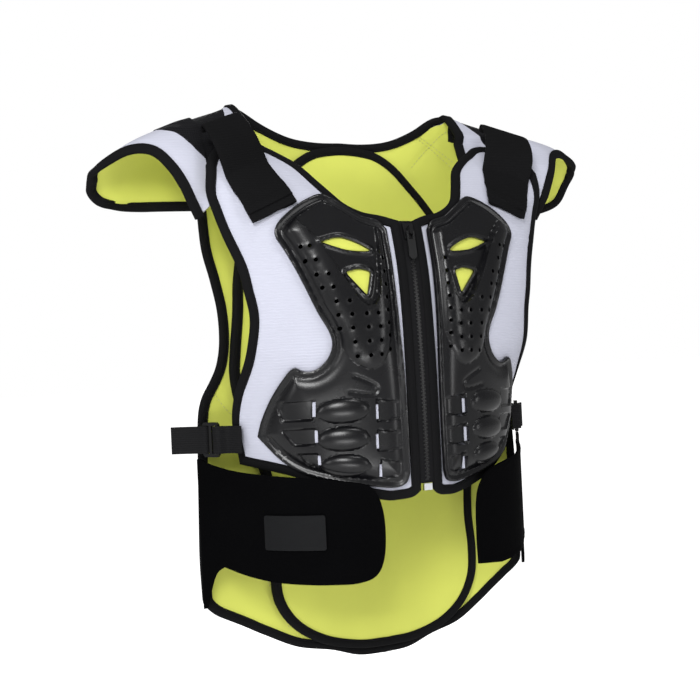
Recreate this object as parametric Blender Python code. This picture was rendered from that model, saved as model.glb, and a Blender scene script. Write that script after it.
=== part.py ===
"""Motorcycle body protector for a young rider, built as flat patterns laid on worn surfaces.

X points to the wearer's left, the front faces -Y and Z is up. The origin is the middle of the
shoulders, at the height where the vest sits on them. Every panel is an outline in a flat pattern,
cut and filled there and then laid on the front, the back or the belt surface.
"""
import math
from functools import lru_cache

import bmesh
import bpy
from mathutils import Vector
from mathutils.geometry import delaunay_2d_cdt

# Driving sizes in metres. Tables give across in HALF_SHOULDER, down and up in BACK_LENGTH and
# depth in DEPTH.
HALF_SHOULDER = 0.200
CAP_OVERHANG = 0.063
BACK_LENGTH = 0.500
DEPTH = 0.160
CAP_DROOP = {1: -0.009, -1: 0.009}
TAIL_LEAN = 0.022
TAIL_HALF_WIDTH = 0.160
RIDGE_WIDTH = 0.022
FRONT_DRAW_IN = 0.457

# Walls, tapes and clearances.
PANEL_WALL = 0.005
MESH_WALL = 0.002
PAD_WALL = 0.0115
PAD_EDGE_WALL = 0.0075
PAD_CROWN = 0.030
PLATE_WALL = 0.0025
PLATE_RISE = 0.005
PLATE_RIM = 0.008
PLATE_SLOPE = 0.006
HUMP_RISE = 0.004
STRAP_WALL = 0.003
STRAP_TAB_WALL = 0.006
BELT_WALL = 0.003
PATCH_WALL = 0.0012
PATCH_LIFT = 0.0007
TAPE_WIDTH = 0.009
CENTRE_TAPE_WIDTH = 0.008
TAPE_PROUD = 0.0005
WEBBING_WIDTH = 0.025
WEBBING_WALL = 0.0015
GAP = 0.0004
SEAM = 0.0006

# Mesh steps in the pattern.
PANEL_STEP = 0.025
FRONT_STEP = 0.021
BELT_STEP = 0.017
EDGE_STEP = 0.019
NECK_STEP = 0.011
PLATE_STEP = 0.018
PLATE_EDGE_STEP = 0.012
CAP_STEP = 0.014
ZIP_STEP = 0.030
DIFFERENCE = 0.0002

# Zip sizes.
ZIP_HALF_GAP = 0.0065
TEETH_HALF_WIDTH = 0.0022
TEETH_WALL = 0.0026
ZIP_TAPE_WALL = 0.0016
SLIDER_HALF_WIDTH = 0.0052
SLIDER_HEIGHT = 0.015
SLIDER_WALL = 0.0022
BRIDGE_HALF_WIDTH = 0.0012
BRIDGE_HEIGHT = 0.0085
BRIDGE_REACH = 0.0046
BRIDGE_BAR = 0.0012
PULL_WIDTH = 0.008
PULL_LENGTH = 0.026
PULL_WALL = 0.0014
PULL_EYE_WIDTH = 0.0038
PULL_EYE_LENGTH = 0.0062
PULL_BAR = 0.0015
PULL_CLEAR = 0.0008
STOP_HALF_WIDTH = 0.004
STOP_HEIGHT = 0.006
STOP_WALL = 0.003
ZIP_FOOT = -0.692

# Ladder lock sizes.
LOCK_LENGTH = 0.019
LOCK_BAR = 0.003
LOCK_WALL = 0.003
LOCK_RIM = 0.003
WEBBING_STEP = 0.0036

COLOURS = {
    "white_foam": ((0.80, 0.81, 0.88), 0.75),
    "lime_foam": ((0.62, 0.68, 0.10), 0.8),
    "black_tape": ((0.012, 0.012, 0.013), 0.8),
    "black_mesh": ((0.016, 0.016, 0.018), 0.85),
    "black_plate": ((0.02, 0.02, 0.023), 0.38),
    "black_elastic": ((0.011, 0.011, 0.012), 0.8),
    "black_webbing": ((0.012, 0.012, 0.013), 0.75),
    "black_plastic": ((0.015, 0.015, 0.017), 0.4),
    "grey_patch": ((0.022, 0.022, 0.024), 0.6),
    "zip_tape": ((0.012, 0.012, 0.013), 0.85),
    "zip_metal": ((0.55, 0.56, 0.58), 0.3),
}

# Front surface, from the shoulders down: depth at the centre line and at FRONT_EDGE, then how far
# it falls back beside the zip's ridge and again toward the sides. What falls back is also drawn
# in toward the zip.
FRONT_EDGE = 0.825
FRONT_ROUND = 0.90
FRONT_ROWS = (
    # down, centre depth, edge depth, fall beside the ridge, fall at the edge
    (-0.04, -0.220, -0.330, 0.000, 0.000),
    (-0.08, -0.340, -0.430, 0.000, 0.000),
    (-0.11, -0.443, -0.500, 0.000, 0.000),
    (-0.15, -0.585, -0.538, 0.005, 0.000),
    (-0.18, -0.690, -0.556, 0.020, 0.000),
    (-0.22, -0.765, -0.575, 0.040, 0.000),
    (-0.26, -0.808, -0.590, 0.050, 0.000),
    (-0.31, -0.845, -0.594, 0.050, 0.000),
    (-0.37, -0.868, -0.580, 0.050, 0.000),
    (-0.44, -0.881, -0.512, 0.050, 0.000),
    (-0.50, -0.888, -0.410, 0.050, 0.045),
    (-0.56, -0.891, -0.340, 0.050, 0.095),
    (-0.64, -0.893, -0.322, 0.050, 0.135),
    (-0.90, -0.894, -0.312, 0.050, 0.137),
)

# Back surface below the shoulders: depth at the centre line and at BACK_EDGE.
BACK_EDGE = 0.865
BACK_ROWS = (
    # down, centre depth, edge depth
    (-0.19, 0.062, 0.025),
    (-0.28, 0.056, -0.025),
    (-0.40, 0.053, -0.075),
    (-0.52, 0.050, -0.106),
    (-0.64, 0.050, -0.112),
    (-1.08, 0.050, -0.112),
)

# Shoulder arch above SPRING, one row for each station across, each with depth and height at
# equal steps of ARCH_STEP from the back over the top to the front.
SPRING = -0.19
ARCH_STEP = 0.08
ARCH_ROWS = (
    # across, then depth and height six times
    (0.425, (
        (0.069, -0.110), (0.075, -0.030), (0.038, 0.027), (-0.150, 0.000), (-0.312, -0.060), (-0.520, -0.150),
    )),
    (0.560, (
        (0.069, -0.110), (0.081, -0.030), (0.038, 0.031),
        (-0.162, -0.012), (-0.344, -0.072), (-0.540, -0.165),
    )),
    (0.700, (
        (0.066, -0.110), (0.066, -0.038), (-0.025, 0.009),
        (-0.206, -0.020), (-0.362, -0.076), (-0.520, -0.180),
    )),
    (0.850, (
        (0.044, -0.116), (0.030, -0.052), (-0.075, -0.014),
        (-0.262, -0.032), (-0.400, -0.086), (-0.480, -0.200),
    )),
    (1.000, (
        (0.019, -0.128), (-0.012, -0.070), (-0.125, -0.036),
        (-0.290, -0.048), (-0.430, -0.108), (-0.490, -0.206),
    )),
    (1.475, (
        (-0.019, -0.148), (-0.050, -0.100), (-0.150, -0.062),
        (-0.288, -0.072), (-0.388, -0.128), (-0.425, -0.212),
    )),
    (2.000, (
        (-0.056, -0.164), (-0.081, -0.132), (-0.156, -0.104),
        (-0.262, -0.112), (-0.338, -0.152), (-0.362, -0.216),
    )),
)
DROOP_START = 0.78

# Outlines of the back panel, on the wearer's left half, in across and up.
BACK_HEM = ((0.0, -1.070), (0.14, -1.066), (0.28, -1.046), (0.45, -1.026), (0.60, -0.990), (0.69, -0.965))
BACK_TAIL = ((0.69, -0.965), (0.81, -0.932), (0.86, -0.912), (0.87, -0.900))
BACK_SIDE = (
    (0.87, -0.900), (0.875, -0.826), (0.868, -0.730), (0.860, -0.640), (0.850, -0.566), (0.828, -0.530),
    (0.785, -0.500), (0.745, -0.466), (0.720, -0.420), (0.716, -0.362), (0.738, -0.306), (0.762, -0.264),
    (0.772, -0.232), (0.775, -0.172),
)
NECK = (
    (0.505, 0.235), (0.520, 0.210), (0.545, 0.165), (0.565, 0.100), (0.572, 0.050), (0.545, 0.040),
    (0.500, 0.027), (0.435, 0.010), (0.375, -0.004), (0.295, -0.018), (0.215, -0.026), (0.110, -0.030),
    (0.0, -0.029),
)

# Seams of the shoulder in across and up: the cap's, from its foot to its front, and the edge of
# the strip beside the neck. The mesh yoke fills what lies between them.
SEAM_LOW = ((0.775, -0.172), (0.800, -0.100), (0.822, -0.012))
SEAM_HIGH = ((0.822, -0.012), (0.832, 0.100), (0.836, 0.235))
SEAM_FRONT = ((0.836, 0.235), (0.838, 0.280))
STRIP_EDGE = ((0.630, -0.012), (0.635, 0.060), (0.740, 0.235))
CAP_EDGE = (
    (0.786, -0.172), (0.965, -0.172), (1.20, -0.171), (1.48, -0.164), (1.68, -0.144), (1.84, -0.108),
    (1.94, -0.062), (2.00, -0.008), (2.00, 0.040), (1.93, 0.082), (1.76, 0.112), (1.52, 0.134),
    (1.24, 0.168), (1.04, 0.216), (0.955, 0.258), (0.898, 0.292),
)
CAP_FRONT = ((0.898, 0.292), (0.838, 0.280))

# Outline of the inner back pad, on the wearer's left half, in across and up.
PAD_EDGE = (
    (0.0, -1.052), (0.16, -1.048), (0.34, -1.026), (0.48, -0.986), (0.56, -0.932), (0.575, -0.870),
    (0.560, -0.800), (0.575, -0.720), (0.640, -0.620), (0.690, -0.550), (0.706, -0.490), (0.690, -0.440),
    (0.655, -0.370), (0.630, -0.300), (0.585, -0.230), (0.475, -0.164), (0.395, -0.124), (0.290, -0.080),
    (0.180, -0.052), (0.070, -0.042), (0.0, -0.040),
)

# Outline of a front panel, in across and down.
FRONT_NECK = (
    (0.530, -0.072), (0.482, -0.084), (0.402, -0.110), (0.343, -0.148), (0.285, -0.184), (0.205, -0.203),
    (0.115, -0.211), (0.0325, -0.222),
)
FRONT_FOOT = -0.704
FRONT_HEM = (
    (0.0325, -0.704), (0.070, -0.715), (0.135, -0.719), (0.210, -0.718), (0.400, -0.698), (0.580, -0.670),
    (0.760, -0.650),
)
FRONT_SIDE = (
    (0.760, -0.650), (0.765, -0.632), (0.780, -0.574), (0.775, -0.520), (0.760, -0.486), (0.745, -0.450),
    (0.735, -0.390), (0.755, -0.342), (0.775, -0.300), (0.820, -0.246), (0.850, -0.198), (0.870, -0.160),
    (0.858, -0.114),
)
FRONT_TOP = (
    (0.858, -0.114), (0.820, -0.090), (0.750, -0.068), (0.665, -0.054), (0.590, -0.057), (0.530, -0.072),
)

# Outline and openings of a chest plate, in across and down.
PLATE_EDGE = (
    ((0.105, -0.240), (0.145, -0.224), (0.225, -0.214), (0.305, -0.192), (0.375, -0.177), (0.460, -0.186),
     (0.540, -0.204), (0.600, -0.226), (0.615, -0.246), (0.585, -0.272), (0.535, -0.316), (0.470, -0.378),
     (0.420, -0.416), (0.408, -0.440), (0.430, -0.464), (0.475, -0.480), (0.515, -0.482), (0.555, -0.474)),
    ((0.555, -0.474), (0.582, -0.482), (0.635, -0.522), (0.670, -0.566), (0.685, -0.596)),
    ((0.685, -0.596), (0.605, -0.640), (0.515, -0.666), (0.380, -0.682), (0.280, -0.690), (0.170, -0.696),
     (0.105, -0.690), (0.082, -0.672)),
    ((0.082, -0.672), (0.080, -0.600), (0.084, -0.500), (0.094, -0.420), (0.102, -0.330), (0.105, -0.240)),
)
VENTS = (
    ((0.435, -0.262), (0.335, -0.256), (0.215, -0.280), (0.305, -0.280), (0.375, -0.272)),
    ((0.340, -0.316), (0.280, -0.311), (0.225, -0.316), (0.250, -0.358)),
)
SLOT_HALF_WIDTH = 0.0014
SLOTS = (
    # across, upper end down, lower end down
    (0.477, -0.534, -0.564),
    (0.470, -0.586, -0.610),
    (0.463, -0.632, -0.650),
    (0.228, -0.546, -0.574),
    (0.232, -0.598, -0.626),
    (0.222, -0.652, -0.676),
)
HOLE_RADIUS = 0.0023
HOLE_SIDES = 5
HOLE_ROWS = (
    # down, then across once for each hole
    (-0.272, (0.520, 0.485)),
    (-0.296, (0.505, 0.465)),
    (-0.320, (0.465, 0.418)),
    (-0.342, (0.445, 0.402)),
    (-0.366, (0.392, 0.338)),
    (-0.389, (0.385, 0.330, 0.268, 0.215)),
    (-0.412, (0.378, 0.328, 0.262, 0.208)),
    (-0.436, (0.320, 0.260, 0.206)),
    (-0.460, (0.310, 0.256, 0.205)),
    (-0.296, (0.162,)),
    (-0.318, (0.161,)),
    (-0.340, (0.160,)),
    (-0.362, (0.160,)),
    (-0.384, (0.160,)),
    (-0.406, (0.158,)),
    (-0.428, (0.156,)),
    (-0.452, (0.155,)),
)
HUMPS = (
    # across, down, half width, half height
    (0.365, -0.554, 0.100, 0.022),
    (0.365, -0.604, 0.098, 0.021),
    (0.362, -0.652, 0.092, 0.020),
)

# Shoulder strap: each row has its inner and outer edge as across, depth and height. STRAP_BACK
# gives across of both edges and up, where the strap lies on the yoke.
STRAP_BACK = (
    (0.700, 0.885, 0.000),
    (0.698, 0.880, 0.035),
)
STRAP_ROWS = (
    ((0.672, -0.190, 0.014), (0.866, -0.270, -0.010)),
    ((0.645, -0.335, -0.010), (0.848, -0.460, -0.044)),
    ((0.605, -0.455, -0.054), (0.820, -0.560, -0.090)),
    ((0.555, -0.500, -0.116), (0.775, -0.570, -0.148)),
    ((0.525, -0.600, -0.146), (0.742, -0.620, -0.178)),
    ((0.498, -0.680, -0.180), (0.706, -0.650, -0.212)),
)
STRAP_TAB_START = 0.93
STRAP_LENGTHS = 16

# Belt flaps: where they run round the waist, then their outlines in turn and down. Turn counts
# from the back edge round to the middle of the front.
BELT_PLAN = (
    # turn, across, depth
    (0.0, 0.872, -0.133),
    (5.0, 0.860, -0.170),
    (10.0, 0.838, -0.206),
    (15.0, 0.810, -0.257),
    (30.0, 0.720, -0.444),
    (45.0, 0.590, -0.638),
    (60.0, 0.416, -0.786),
    (75.0, 0.212, -0.885),
)
BELT_TOP = (
    (0.9, -0.638), (6.0, -0.640), (12.0, -0.648), (25.0, -0.659),
    (40.0, -0.666), (52.0, -0.671), (64.0, -0.679),
    (70.0, -0.687),
)
BELT_END_RIGHT = (
    (70.0, -0.687), (73.0, -0.706), (74.6, -0.742), (74.7, -0.790),
    (73.6, -0.826), (71.0, -0.848), (66.0, -0.857),
)
BELT_END_LEFT = (
    (64.0, -0.682), (69.0, -0.704), (71.2, -0.734), (71.8, -0.790), (71.6, -0.850),
)
BELT_FOOT = (
    (60.0, -0.858), (51.0, -0.857), (35.0, -0.851), (17.0, -0.833),
)
BELT_ROOT_FOOT = ((17.0, -0.833), (12.0, -0.848), (8.0, -0.880), (4.5, -0.910), (0.9, -0.914))
PATCH_TURN = (37.0, 57.0)
PATCH_DOWN = (-0.735, -0.796)

# Side fastening between the front and the back panel. Paths of the tab and the webbing are in
# lock lengths from the middle of the ladder lock and in lock walls out of it.
FASTENING_DOWN = -0.602
FASTENING_BACK = 0.840
FASTENING_PLACE = 0.52
FASTENING_BULGE = 0.005
TAB_HOLD = 0.040
TAB_EASE = 0.0045
TAB_PATH = (
    (-0.62, 0.95), (-0.43, 1.10), (-0.25, 0.75), (-0.216, 0.0),
    (-0.25, -0.75), (-0.43, -1.10), (-0.62, -1.00),
    (-0.70, -1.00),
)
WEBBING_PATH = (
    (0.60, -0.95), (0.43, -1.10), (0.25, -0.75), (0.216, 0.0), (0.25, 0.75), (0.43, 1.10), (0.66, 1.40),
    (1.05, 2.30), (1.50, 3.60), (1.90, 5.00),
)


def clear_scene():
    for thing in list(bpy.data.objects):
        bpy.data.objects.remove(thing, do_unlink=True)


@lru_cache(maxsize=None)
def material(name):
    made = bpy.data.materials.new(name)
    made.use_nodes = True
    colour, roughness = COLOURS[name]
    shader = made.node_tree.nodes["Principled BSDF"]
    shader.inputs["Base Color"].default_value = (*colour, 1.0)
    shader.inputs["Roughness"].default_value = roughness
    shader.inputs["Metallic"].default_value = 1.0 if name == "zip_metal" else 0.0
    made.diffuse_color = (*colour, 1.0)
    return made


def add_solid(name, points, faces, material_name, side=1):
    """Makes an object from a closed mesh, mirrored to the wearer's right when side is -1."""
    mesh = bpy.data.meshes.new(name)
    mesh.from_pydata([(side * p[0], p[1], p[2]) for p in points], [], faces)
    tidy = bmesh.new()
    tidy.from_mesh(mesh)
    bmesh.ops.recalc_face_normals(tidy, faces=tidy.faces)
    tidy.to_mesh(mesh)
    tidy.free()
    mesh.materials.append(material(material_name))
    mesh.shade_smooth()
    mesh.set_sharp_from_angle(angle=math.radians(40))
    made = bpy.data.objects.new(name, mesh)
    bpy.context.collection.objects.link(made)
    return made


# Curves and tables.

def interpolate(keys, values, key):
    """Smooth curve through a table's values, held level past its two ends."""
    if key <= keys[0]:
        return values[0]
    if key >= keys[-1]:
        return values[-1]
    i = max(k for k in range(len(keys) - 1) if keys[k] <= key)
    span = keys[i + 1] - keys[i]
    share = (key - keys[i]) / span

    def slope(k):
        low = max(k - 1, 0)
        high = min(k + 1, len(keys) - 1)
        return (values[high] - values[low]) / (keys[high] - keys[low])

    square = share * share
    cube = square * share
    return (
        values[i] * (2 * cube - 3 * square + 1)
        + slope(i) * span * (cube - 2 * square + share)
        + values[i + 1] * (3 * square - 2 * cube)
        + slope(i + 1) * span * (cube - square)
    )


def catmull(points, place):
    """Point on a smooth curve through equally spaced knots, place counted in knots."""
    i = min(max(int(math.floor(place)), 0), len(points) - 2)
    share = place - i
    before = points[i - 1] if i else points[0] * 2 - points[1]
    after = points[i + 2] if i + 2 < len(points) else points[-1] * 2 - points[-2]
    start, end = points[i], points[i + 1]
    return 0.5 * (
        2 * start + (end - before) * share
        + (2 * before - 5 * start + 4 * end - after) * share ** 2
        + (3 * (start - end) + after - before) * share ** 3
    )


def smooth_run(points, step):
    """Points about a step apart on a smooth curve through a run of knots, both ends kept."""
    knots = [Vector(p) for p in points]
    if len(knots) == 2:
        fine = knots
    else:
        count = 12 * (len(knots) - 1)
        fine = [catmull(knots, k * (len(knots) - 1) / count) for k in range(count + 1)]
    lengths = [0.0]
    for start, end in zip(fine, fine[1:]):
        lengths.append(lengths[-1] + (end - start).length)
    pieces = max(1, round(lengths[-1] / step))
    found = []
    k = 0
    for piece in range(pieces + 1):
        target = lengths[-1] * piece / pieces
        while k < len(fine) - 2 and lengths[k + 1] < target:
            k += 1
        share = (target - lengths[k]) / max(lengths[k + 1] - lengths[k], 1e-9)
        found.append(fine[k].lerp(fine[k + 1], min(max(share, 0.0), 1.0)))
    return found


def across(share):
    """Distance from the centre line; shares over 1 lie in the cap's overhang."""
    if share <= 1.0:
        return share * HALF_SHOULDER
    return HALF_SHOULDER + (share - 1.0) * CAP_OVERHANG


def laid_out(points):
    """Table shares as pattern metres: across and down, or across and up."""
    return [(across(a), b * BACK_LENGTH) for a, b in points]


# Surfaces that the patterns are laid on. Each gives a point for two pattern coordinates.

def front_columns(z):
    """The front table's depths and falls at one height."""
    down = [row[0] * BACK_LENGTH for row in reversed(FRONT_ROWS)]
    return [interpolate(down, [row[k] * DEPTH for row in reversed(FRONT_ROWS)], z) for k in (1, 2, 3, 4)]


def roundness(distance):
    """Share of the way from the centre's depth to the edge's."""
    def circle(reach):
        return 1 - math.sqrt(1 - min(reach / FRONT_ROUND, 0.985) ** 2)

    return circle(distance / HALF_SHOULDER) / circle(FRONT_EDGE)


def front_at(x, z):
    """Front surface; x is where the point would be if the front did not fall back."""
    centre, edge, ridge_fall, edge_fall = front_columns(z)
    bend = roundness(abs(x))
    fall = ridge_fall * (1 - math.exp(-(x / RIDGE_WIDTH) ** 2)) + edge_fall * bend
    return Vector((x - math.copysign(FRONT_DRAW_IN * fall, x), centre + (edge - centre) * bend + fall, z))


@lru_cache(maxsize=None)
def front_place(x, z):
    """Pattern distance of the front surface's point at a true distance from the centre line."""
    place = abs(x)
    for _ in range(5):
        place += abs(x) - front_at(place, z).x
    return place


def front_depth(x, z):
    return front_at(front_place(round(x, 6), round(z, 6)), z).y


def back_depth(x, z):
    down = [row[0] * BACK_LENGTH for row in reversed(BACK_ROWS)]
    centre = interpolate(down, [row[1] * DEPTH for row in reversed(BACK_ROWS)], z)
    edge = interpolate(down, [row[2] * DEPTH for row in reversed(BACK_ROWS)], z)
    return centre + (edge - centre) * (x / (BACK_EDGE * HALF_SHOULDER)) ** 2


def tuck():
    """Distance between the middles of a front panel and of what lies behind it."""
    return PANEL_WALL + 2 * TAPE_PROUD + GAP


@lru_cache(maxsize=None)
def arch_knots(x, side):
    """Knots of the shoulder arch at one distance from the centre line."""
    stations = [across(row[0]) for row in ARCH_ROWS]
    spring = SPRING * BACK_LENGTH
    step = ARCH_STEP * BACK_LENGTH
    knots = [Vector((back_depth(x, spring - step), spring - step)), Vector((back_depth(x, spring), spring))]
    for k in range(len(ARCH_ROWS[0][1])):
        depth = interpolate(stations, [row[1][k][0] * DEPTH for row in ARCH_ROWS], x)
        height = interpolate(stations, [row[1][k][1] * BACK_LENGTH for row in ARCH_ROWS], x)
        knots.append(Vector((depth, height)))
    start = DROOP_START * HALF_SHOULDER
    fall = max(0.0, (x - start) / (HALF_SHOULDER + CAP_OVERHANG - start)) ** 1.5 * CAP_DROOP[side]
    knots[2].y -= 0.5 * fall
    for knot in knots[3:]:
        knot.y -= fall
    return knots


def tail_lean(x, up):
    """Sideways lean of the loose tail, none at its sides and above the waist."""
    share = min(max((0.30 - (up / BACK_LENGTH + 0.60)) / 0.30, 0.0), 1.0)
    middle = max(1 - (x / TAIL_HALF_WIDTH) ** 2, 0.0)
    return TAIL_LEAN * share * share * (3 - 2 * share) * middle


def back_at(x, up):
    """Back surface: straight below SPRING, then over the shoulder and behind the front panel."""
    spring = SPRING * BACK_LENGTH
    if up <= spring:
        return Vector((x + tail_lean(x, up), back_depth(x, up), up))
    side = 1 if x >= 0 else -1
    place = 1 + (up - spring) / (ARCH_STEP * BACK_LENGTH)
    depth, height = catmull(arch_knots(round(abs(x), 6), side), place)
    if height < FRONT_ROWS[0][0] * BACK_LENGTH or depth < 0:
        behind_front = front_depth(min(abs(x), BACK_EDGE * HALF_SHOULDER), height) + 1.4 * tuck()
        depth = max(depth, behind_front)
    return Vector((x, depth, height))


def belt_at(turn, z):
    turns = [row[0] for row in BELT_PLAN]
    x = interpolate(turns, [row[1] * HALF_SHOULDER for row in BELT_PLAN], turn)
    y = interpolate(turns, [row[2] * DEPTH for row in BELT_PLAN], turn)
    return Vector((x, y, z))


def frame_at(surface, u, v, du_step=DIFFERENCE, dv_step=DIFFERENCE):
    """Point, two tangents and the unit normal of a surface."""
    here = surface(u, v)
    along_u = (surface(u + du_step, v) - surface(u - du_step, v)) / (2 * du_step)
    along_v = (surface(u, v + dv_step) - surface(u, v - dv_step)) / (2 * dv_step)
    return here, along_u, along_v, along_u.cross(along_v).normalized()


# Pattern work: insets, filling and edges.

def inset(path, widths, surface, closed=True):
    """Moves a path to its left by true widths on the surface, one width for each edge."""
    moved = []
    count = len(path)
    for i, point in enumerate(path):
        _, du, dv, _ = frame_at(surface, point.x, point.y)
        a = du.length
        b = du.dot(dv) / a
        c = math.sqrt(max(dv.length_squared - b * b, 1e-9))
        has_before = closed or i > 0
        has_after = closed or i < count - 1
        before = path[i - 1] if has_before else point
        after = path[(i + 1) % count] if has_after else point

        def local(vector):
            return Vector((a * vector.x + b * vector.y, c * vector.y))

        incoming = local(point - before) if has_before else local(after - point)
        outgoing = local(after - point) if has_after else incoming
        wide_in = widths[i - 1] if has_before else widths[0]
        wide_out = widths[i] if has_after else widths[i - 1]
        normal_in = Vector((-incoming.y, incoming.x)).normalized()
        normal_out = Vector((-outgoing.y, outgoing.x)).normalized()
        turn = normal_in.x * normal_out.y - normal_in.y * normal_out.x
        if abs(turn) < 0.2:
            middle = (normal_in + normal_out).normalized()
            shift = middle * (0.5 * (wide_in + wide_out) / max(middle.dot(normal_out), 0.5))
        else:
            shift = Vector((
                (wide_in * normal_out.y - wide_out * normal_in.y) / turn,
                (normal_in.x * wide_out - normal_out.x * wide_in) / turn,
            ))
        limit = 2.2 * max(wide_in, wide_out)
        if shift.length > limit:
            shift *= limit / shift.length
        y = shift.y / c
        moved.append(Vector((point.x + (shift.x - b * y) / a, point.y + y)))
    return moved


def inside(point, polygon):
    hit = False
    for start, end in zip(polygon, polygon[1:] + polygon[:1]):
        if (start.y > point.y) != (end.y > point.y):
            if point.x < start.x + (point.y - start.y) * (end.x - start.x) / (end.y - start.y):
                hit = not hit
    return hit


def edge_distance(point, polygon):
    nearest = math.inf
    for start, end in zip(polygon, polygon[1:] + polygon[:1]):
        run = end - start
        share = min(max((point - start).dot(run) / max(run.length_squared, 1e-12), 0.0), 1.0)
        nearest = min(nearest, (start + run * share - point).length)
    return nearest


def grid_points(outline, holes, spacing, already=()):
    """Rows of inner points, offset from row to row, clear of the outline, holes and other points."""
    low_x = min(p.x for p in outline)
    high_x = max(p.x for p in outline)
    low_y = min(p.y for p in outline)
    high_y = max(p.y for p in outline)
    found = list(already)
    row_step = spacing * math.sqrt(3) / 2
    for row in range(1, int((high_y - low_y) / row_step) + 1):
        y = low_y + row * row_step
        for column in range(int((high_x - low_x) / spacing) + 1):
            point = Vector((low_x + (column + 0.5 * (row % 2)) * spacing, y))
            if not inside(point, outline) or edge_distance(point, outline) < 0.55 * spacing:
                continue
            if any(inside(point, hole) or edge_distance(point, hole) < 0.45 * spacing for hole in holes):
                continue
            if any((point - other).length < 0.6 * spacing for other in already):
                continue
            found.append(point)
    return found


def fill_pattern(outline, holes, points):
    """Triangles that fill an outline, round its holes and through its inner points."""
    corners = list(outline)
    edges = [(i, (i + 1) % len(outline)) for i in range(len(outline))]
    for hole in holes:
        first = len(corners)
        edges += [(first + i, first + (i + 1) % len(hole)) for i in range(len(hole))]
        corners += hole
    corners += points
    found, _, faces, *_ = delaunay_2d_cdt(corners, edges, [], 0, 1e-6)
    kept = []
    for face in faces:
        middle = sum((found[i] for i in face), Vector((0.0, 0.0))) / len(face)
        if inside(middle, outline) and not any(inside(middle, hole) for hole in holes):
            kept.append(tuple(face))
    return found, kept


def value(setting, point):
    return setting(point) if callable(setting) else setting


def panel(name, outline, surface, low, high, spacing, material_name, side=1, holes=(), points=()):
    """Solid panel: a filled pattern between two offsets from a surface."""
    holes = [list(hole) for hole in holes]
    inner = grid_points(outline, holes, spacing, points) if spacing else list(points)
    pattern, faces = fill_pattern(outline, holes, inner)
    count = len(pattern)
    vertices = [None] * (2 * count)
    for i, point in enumerate(pattern):
        here, _, _, normal = frame_at(surface, point.x, point.y)
        vertices[i] = here + normal * value(high, point)
        vertices[i + count] = here + normal * value(low, point)
    solid = list(faces) + [tuple(i + count for i in reversed(face)) for face in faces]
    directed = {(a, b) for face in faces for a, b in zip(face, face[1:] + face[:1])}
    solid += [(b, a, a + count, b + count) for a, b in directed if (b, a) not in directed]
    used = sorted({i for face in solid for i in face})
    renumber = {old: new for new, old in enumerate(used)}
    return add_solid(
        name,
        [vertices[i] for i in used],
        [tuple(renumber[i] for i in face) for face in solid],
        material_name,
        side,
    )


def tape(name, outer, inner, surface, low, high, material_name, side=1, closed=True):
    """Edge binding: a strip between two paths, standing through the panel's edge."""
    vertices = []
    for start, end in zip(outer, inner):
        for point in (start, end):
            here, _, _, normal = frame_at(surface, point.x, point.y)
            vertices += [here + normal * low, here + normal * high]
    count = len(outer)
    faces = []
    for i in range(count if closed else count - 1):
        a = 4 * i
        b = 4 * ((i + 1) % count)
        faces += [
            (a, b, b + 1, a + 1), (a + 1, b + 1, b + 3, a + 3),
            (a + 3, b + 3, b + 2, a + 2), (a + 2, b + 2, b, a),
        ]
    if not closed:
        last = 4 * (count - 1)
        faces += [(0, 1, 3, 2), (last, last + 2, last + 3, last + 1)]
    return add_solid(name, vertices, faces, material_name, side)


def ribbon(name, middle, rows, columns, wall, material_name, side=1):
    """Flat strap on a surface of two shares from 0 to 1, with its wall from the middle out."""
    vertices = []
    for row in range(rows + 1):
        for column in range(columns + 1):
            along = row / rows
            here, _, _, normal = frame_at(middle, column / columns, along, 1e-3, 1e-3)
            half = value(wall, along) / 2
            vertices += [here - normal * half, here + normal * half]

    def index(row, column, face):
        return 2 * (row * (columns + 1) + column) + face

    faces = []
    for row in range(rows):
        for column in range(columns):
            for face in (0, 1):
                faces.append((
                    index(row, column, face), index(row, column + 1, face),
                    index(row + 1, column + 1, face), index(row + 1, column, face),
                ))
    for row in range(rows):
        for column in (0, columns):
            faces.append((
                index(row, column, 0), index(row + 1, column, 0),
                index(row + 1, column, 1), index(row, column, 1),
            ))
    for column in range(columns):
        for row in (0, rows):
            faces.append((
                index(row, column, 0), index(row, column + 1, 0),
                index(row, column + 1, 1), index(row, column, 1),
            ))
    return add_solid(name, vertices, faces, material_name, side)


def joined(runs, step):
    """One closed outline from runs of knots that meet at corners, with the run of each edge."""
    outline = []
    owners = []
    for k, run in enumerate(runs):
        found = smooth_run(run, step[k] if isinstance(step, list) else step)
        outline += found[:-1]
        owners += [k] * (len(found) - 1)
    return outline, owners


def mirrored(run):
    return [(-x, y) for x, y in reversed(run)]


def run_path(outline, owners, chosen):
    """The stretch of an outline that some neighbouring runs make, with both its ends."""
    count = len(outline)
    picked = [i for i in range(count) if owners[i] in chosen]
    start = next(i for i in picked if owners[i - 1] not in chosen)
    order = [(start + k) % count for k in range(len(picked) + 1)]
    return order


# Pieces.

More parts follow.
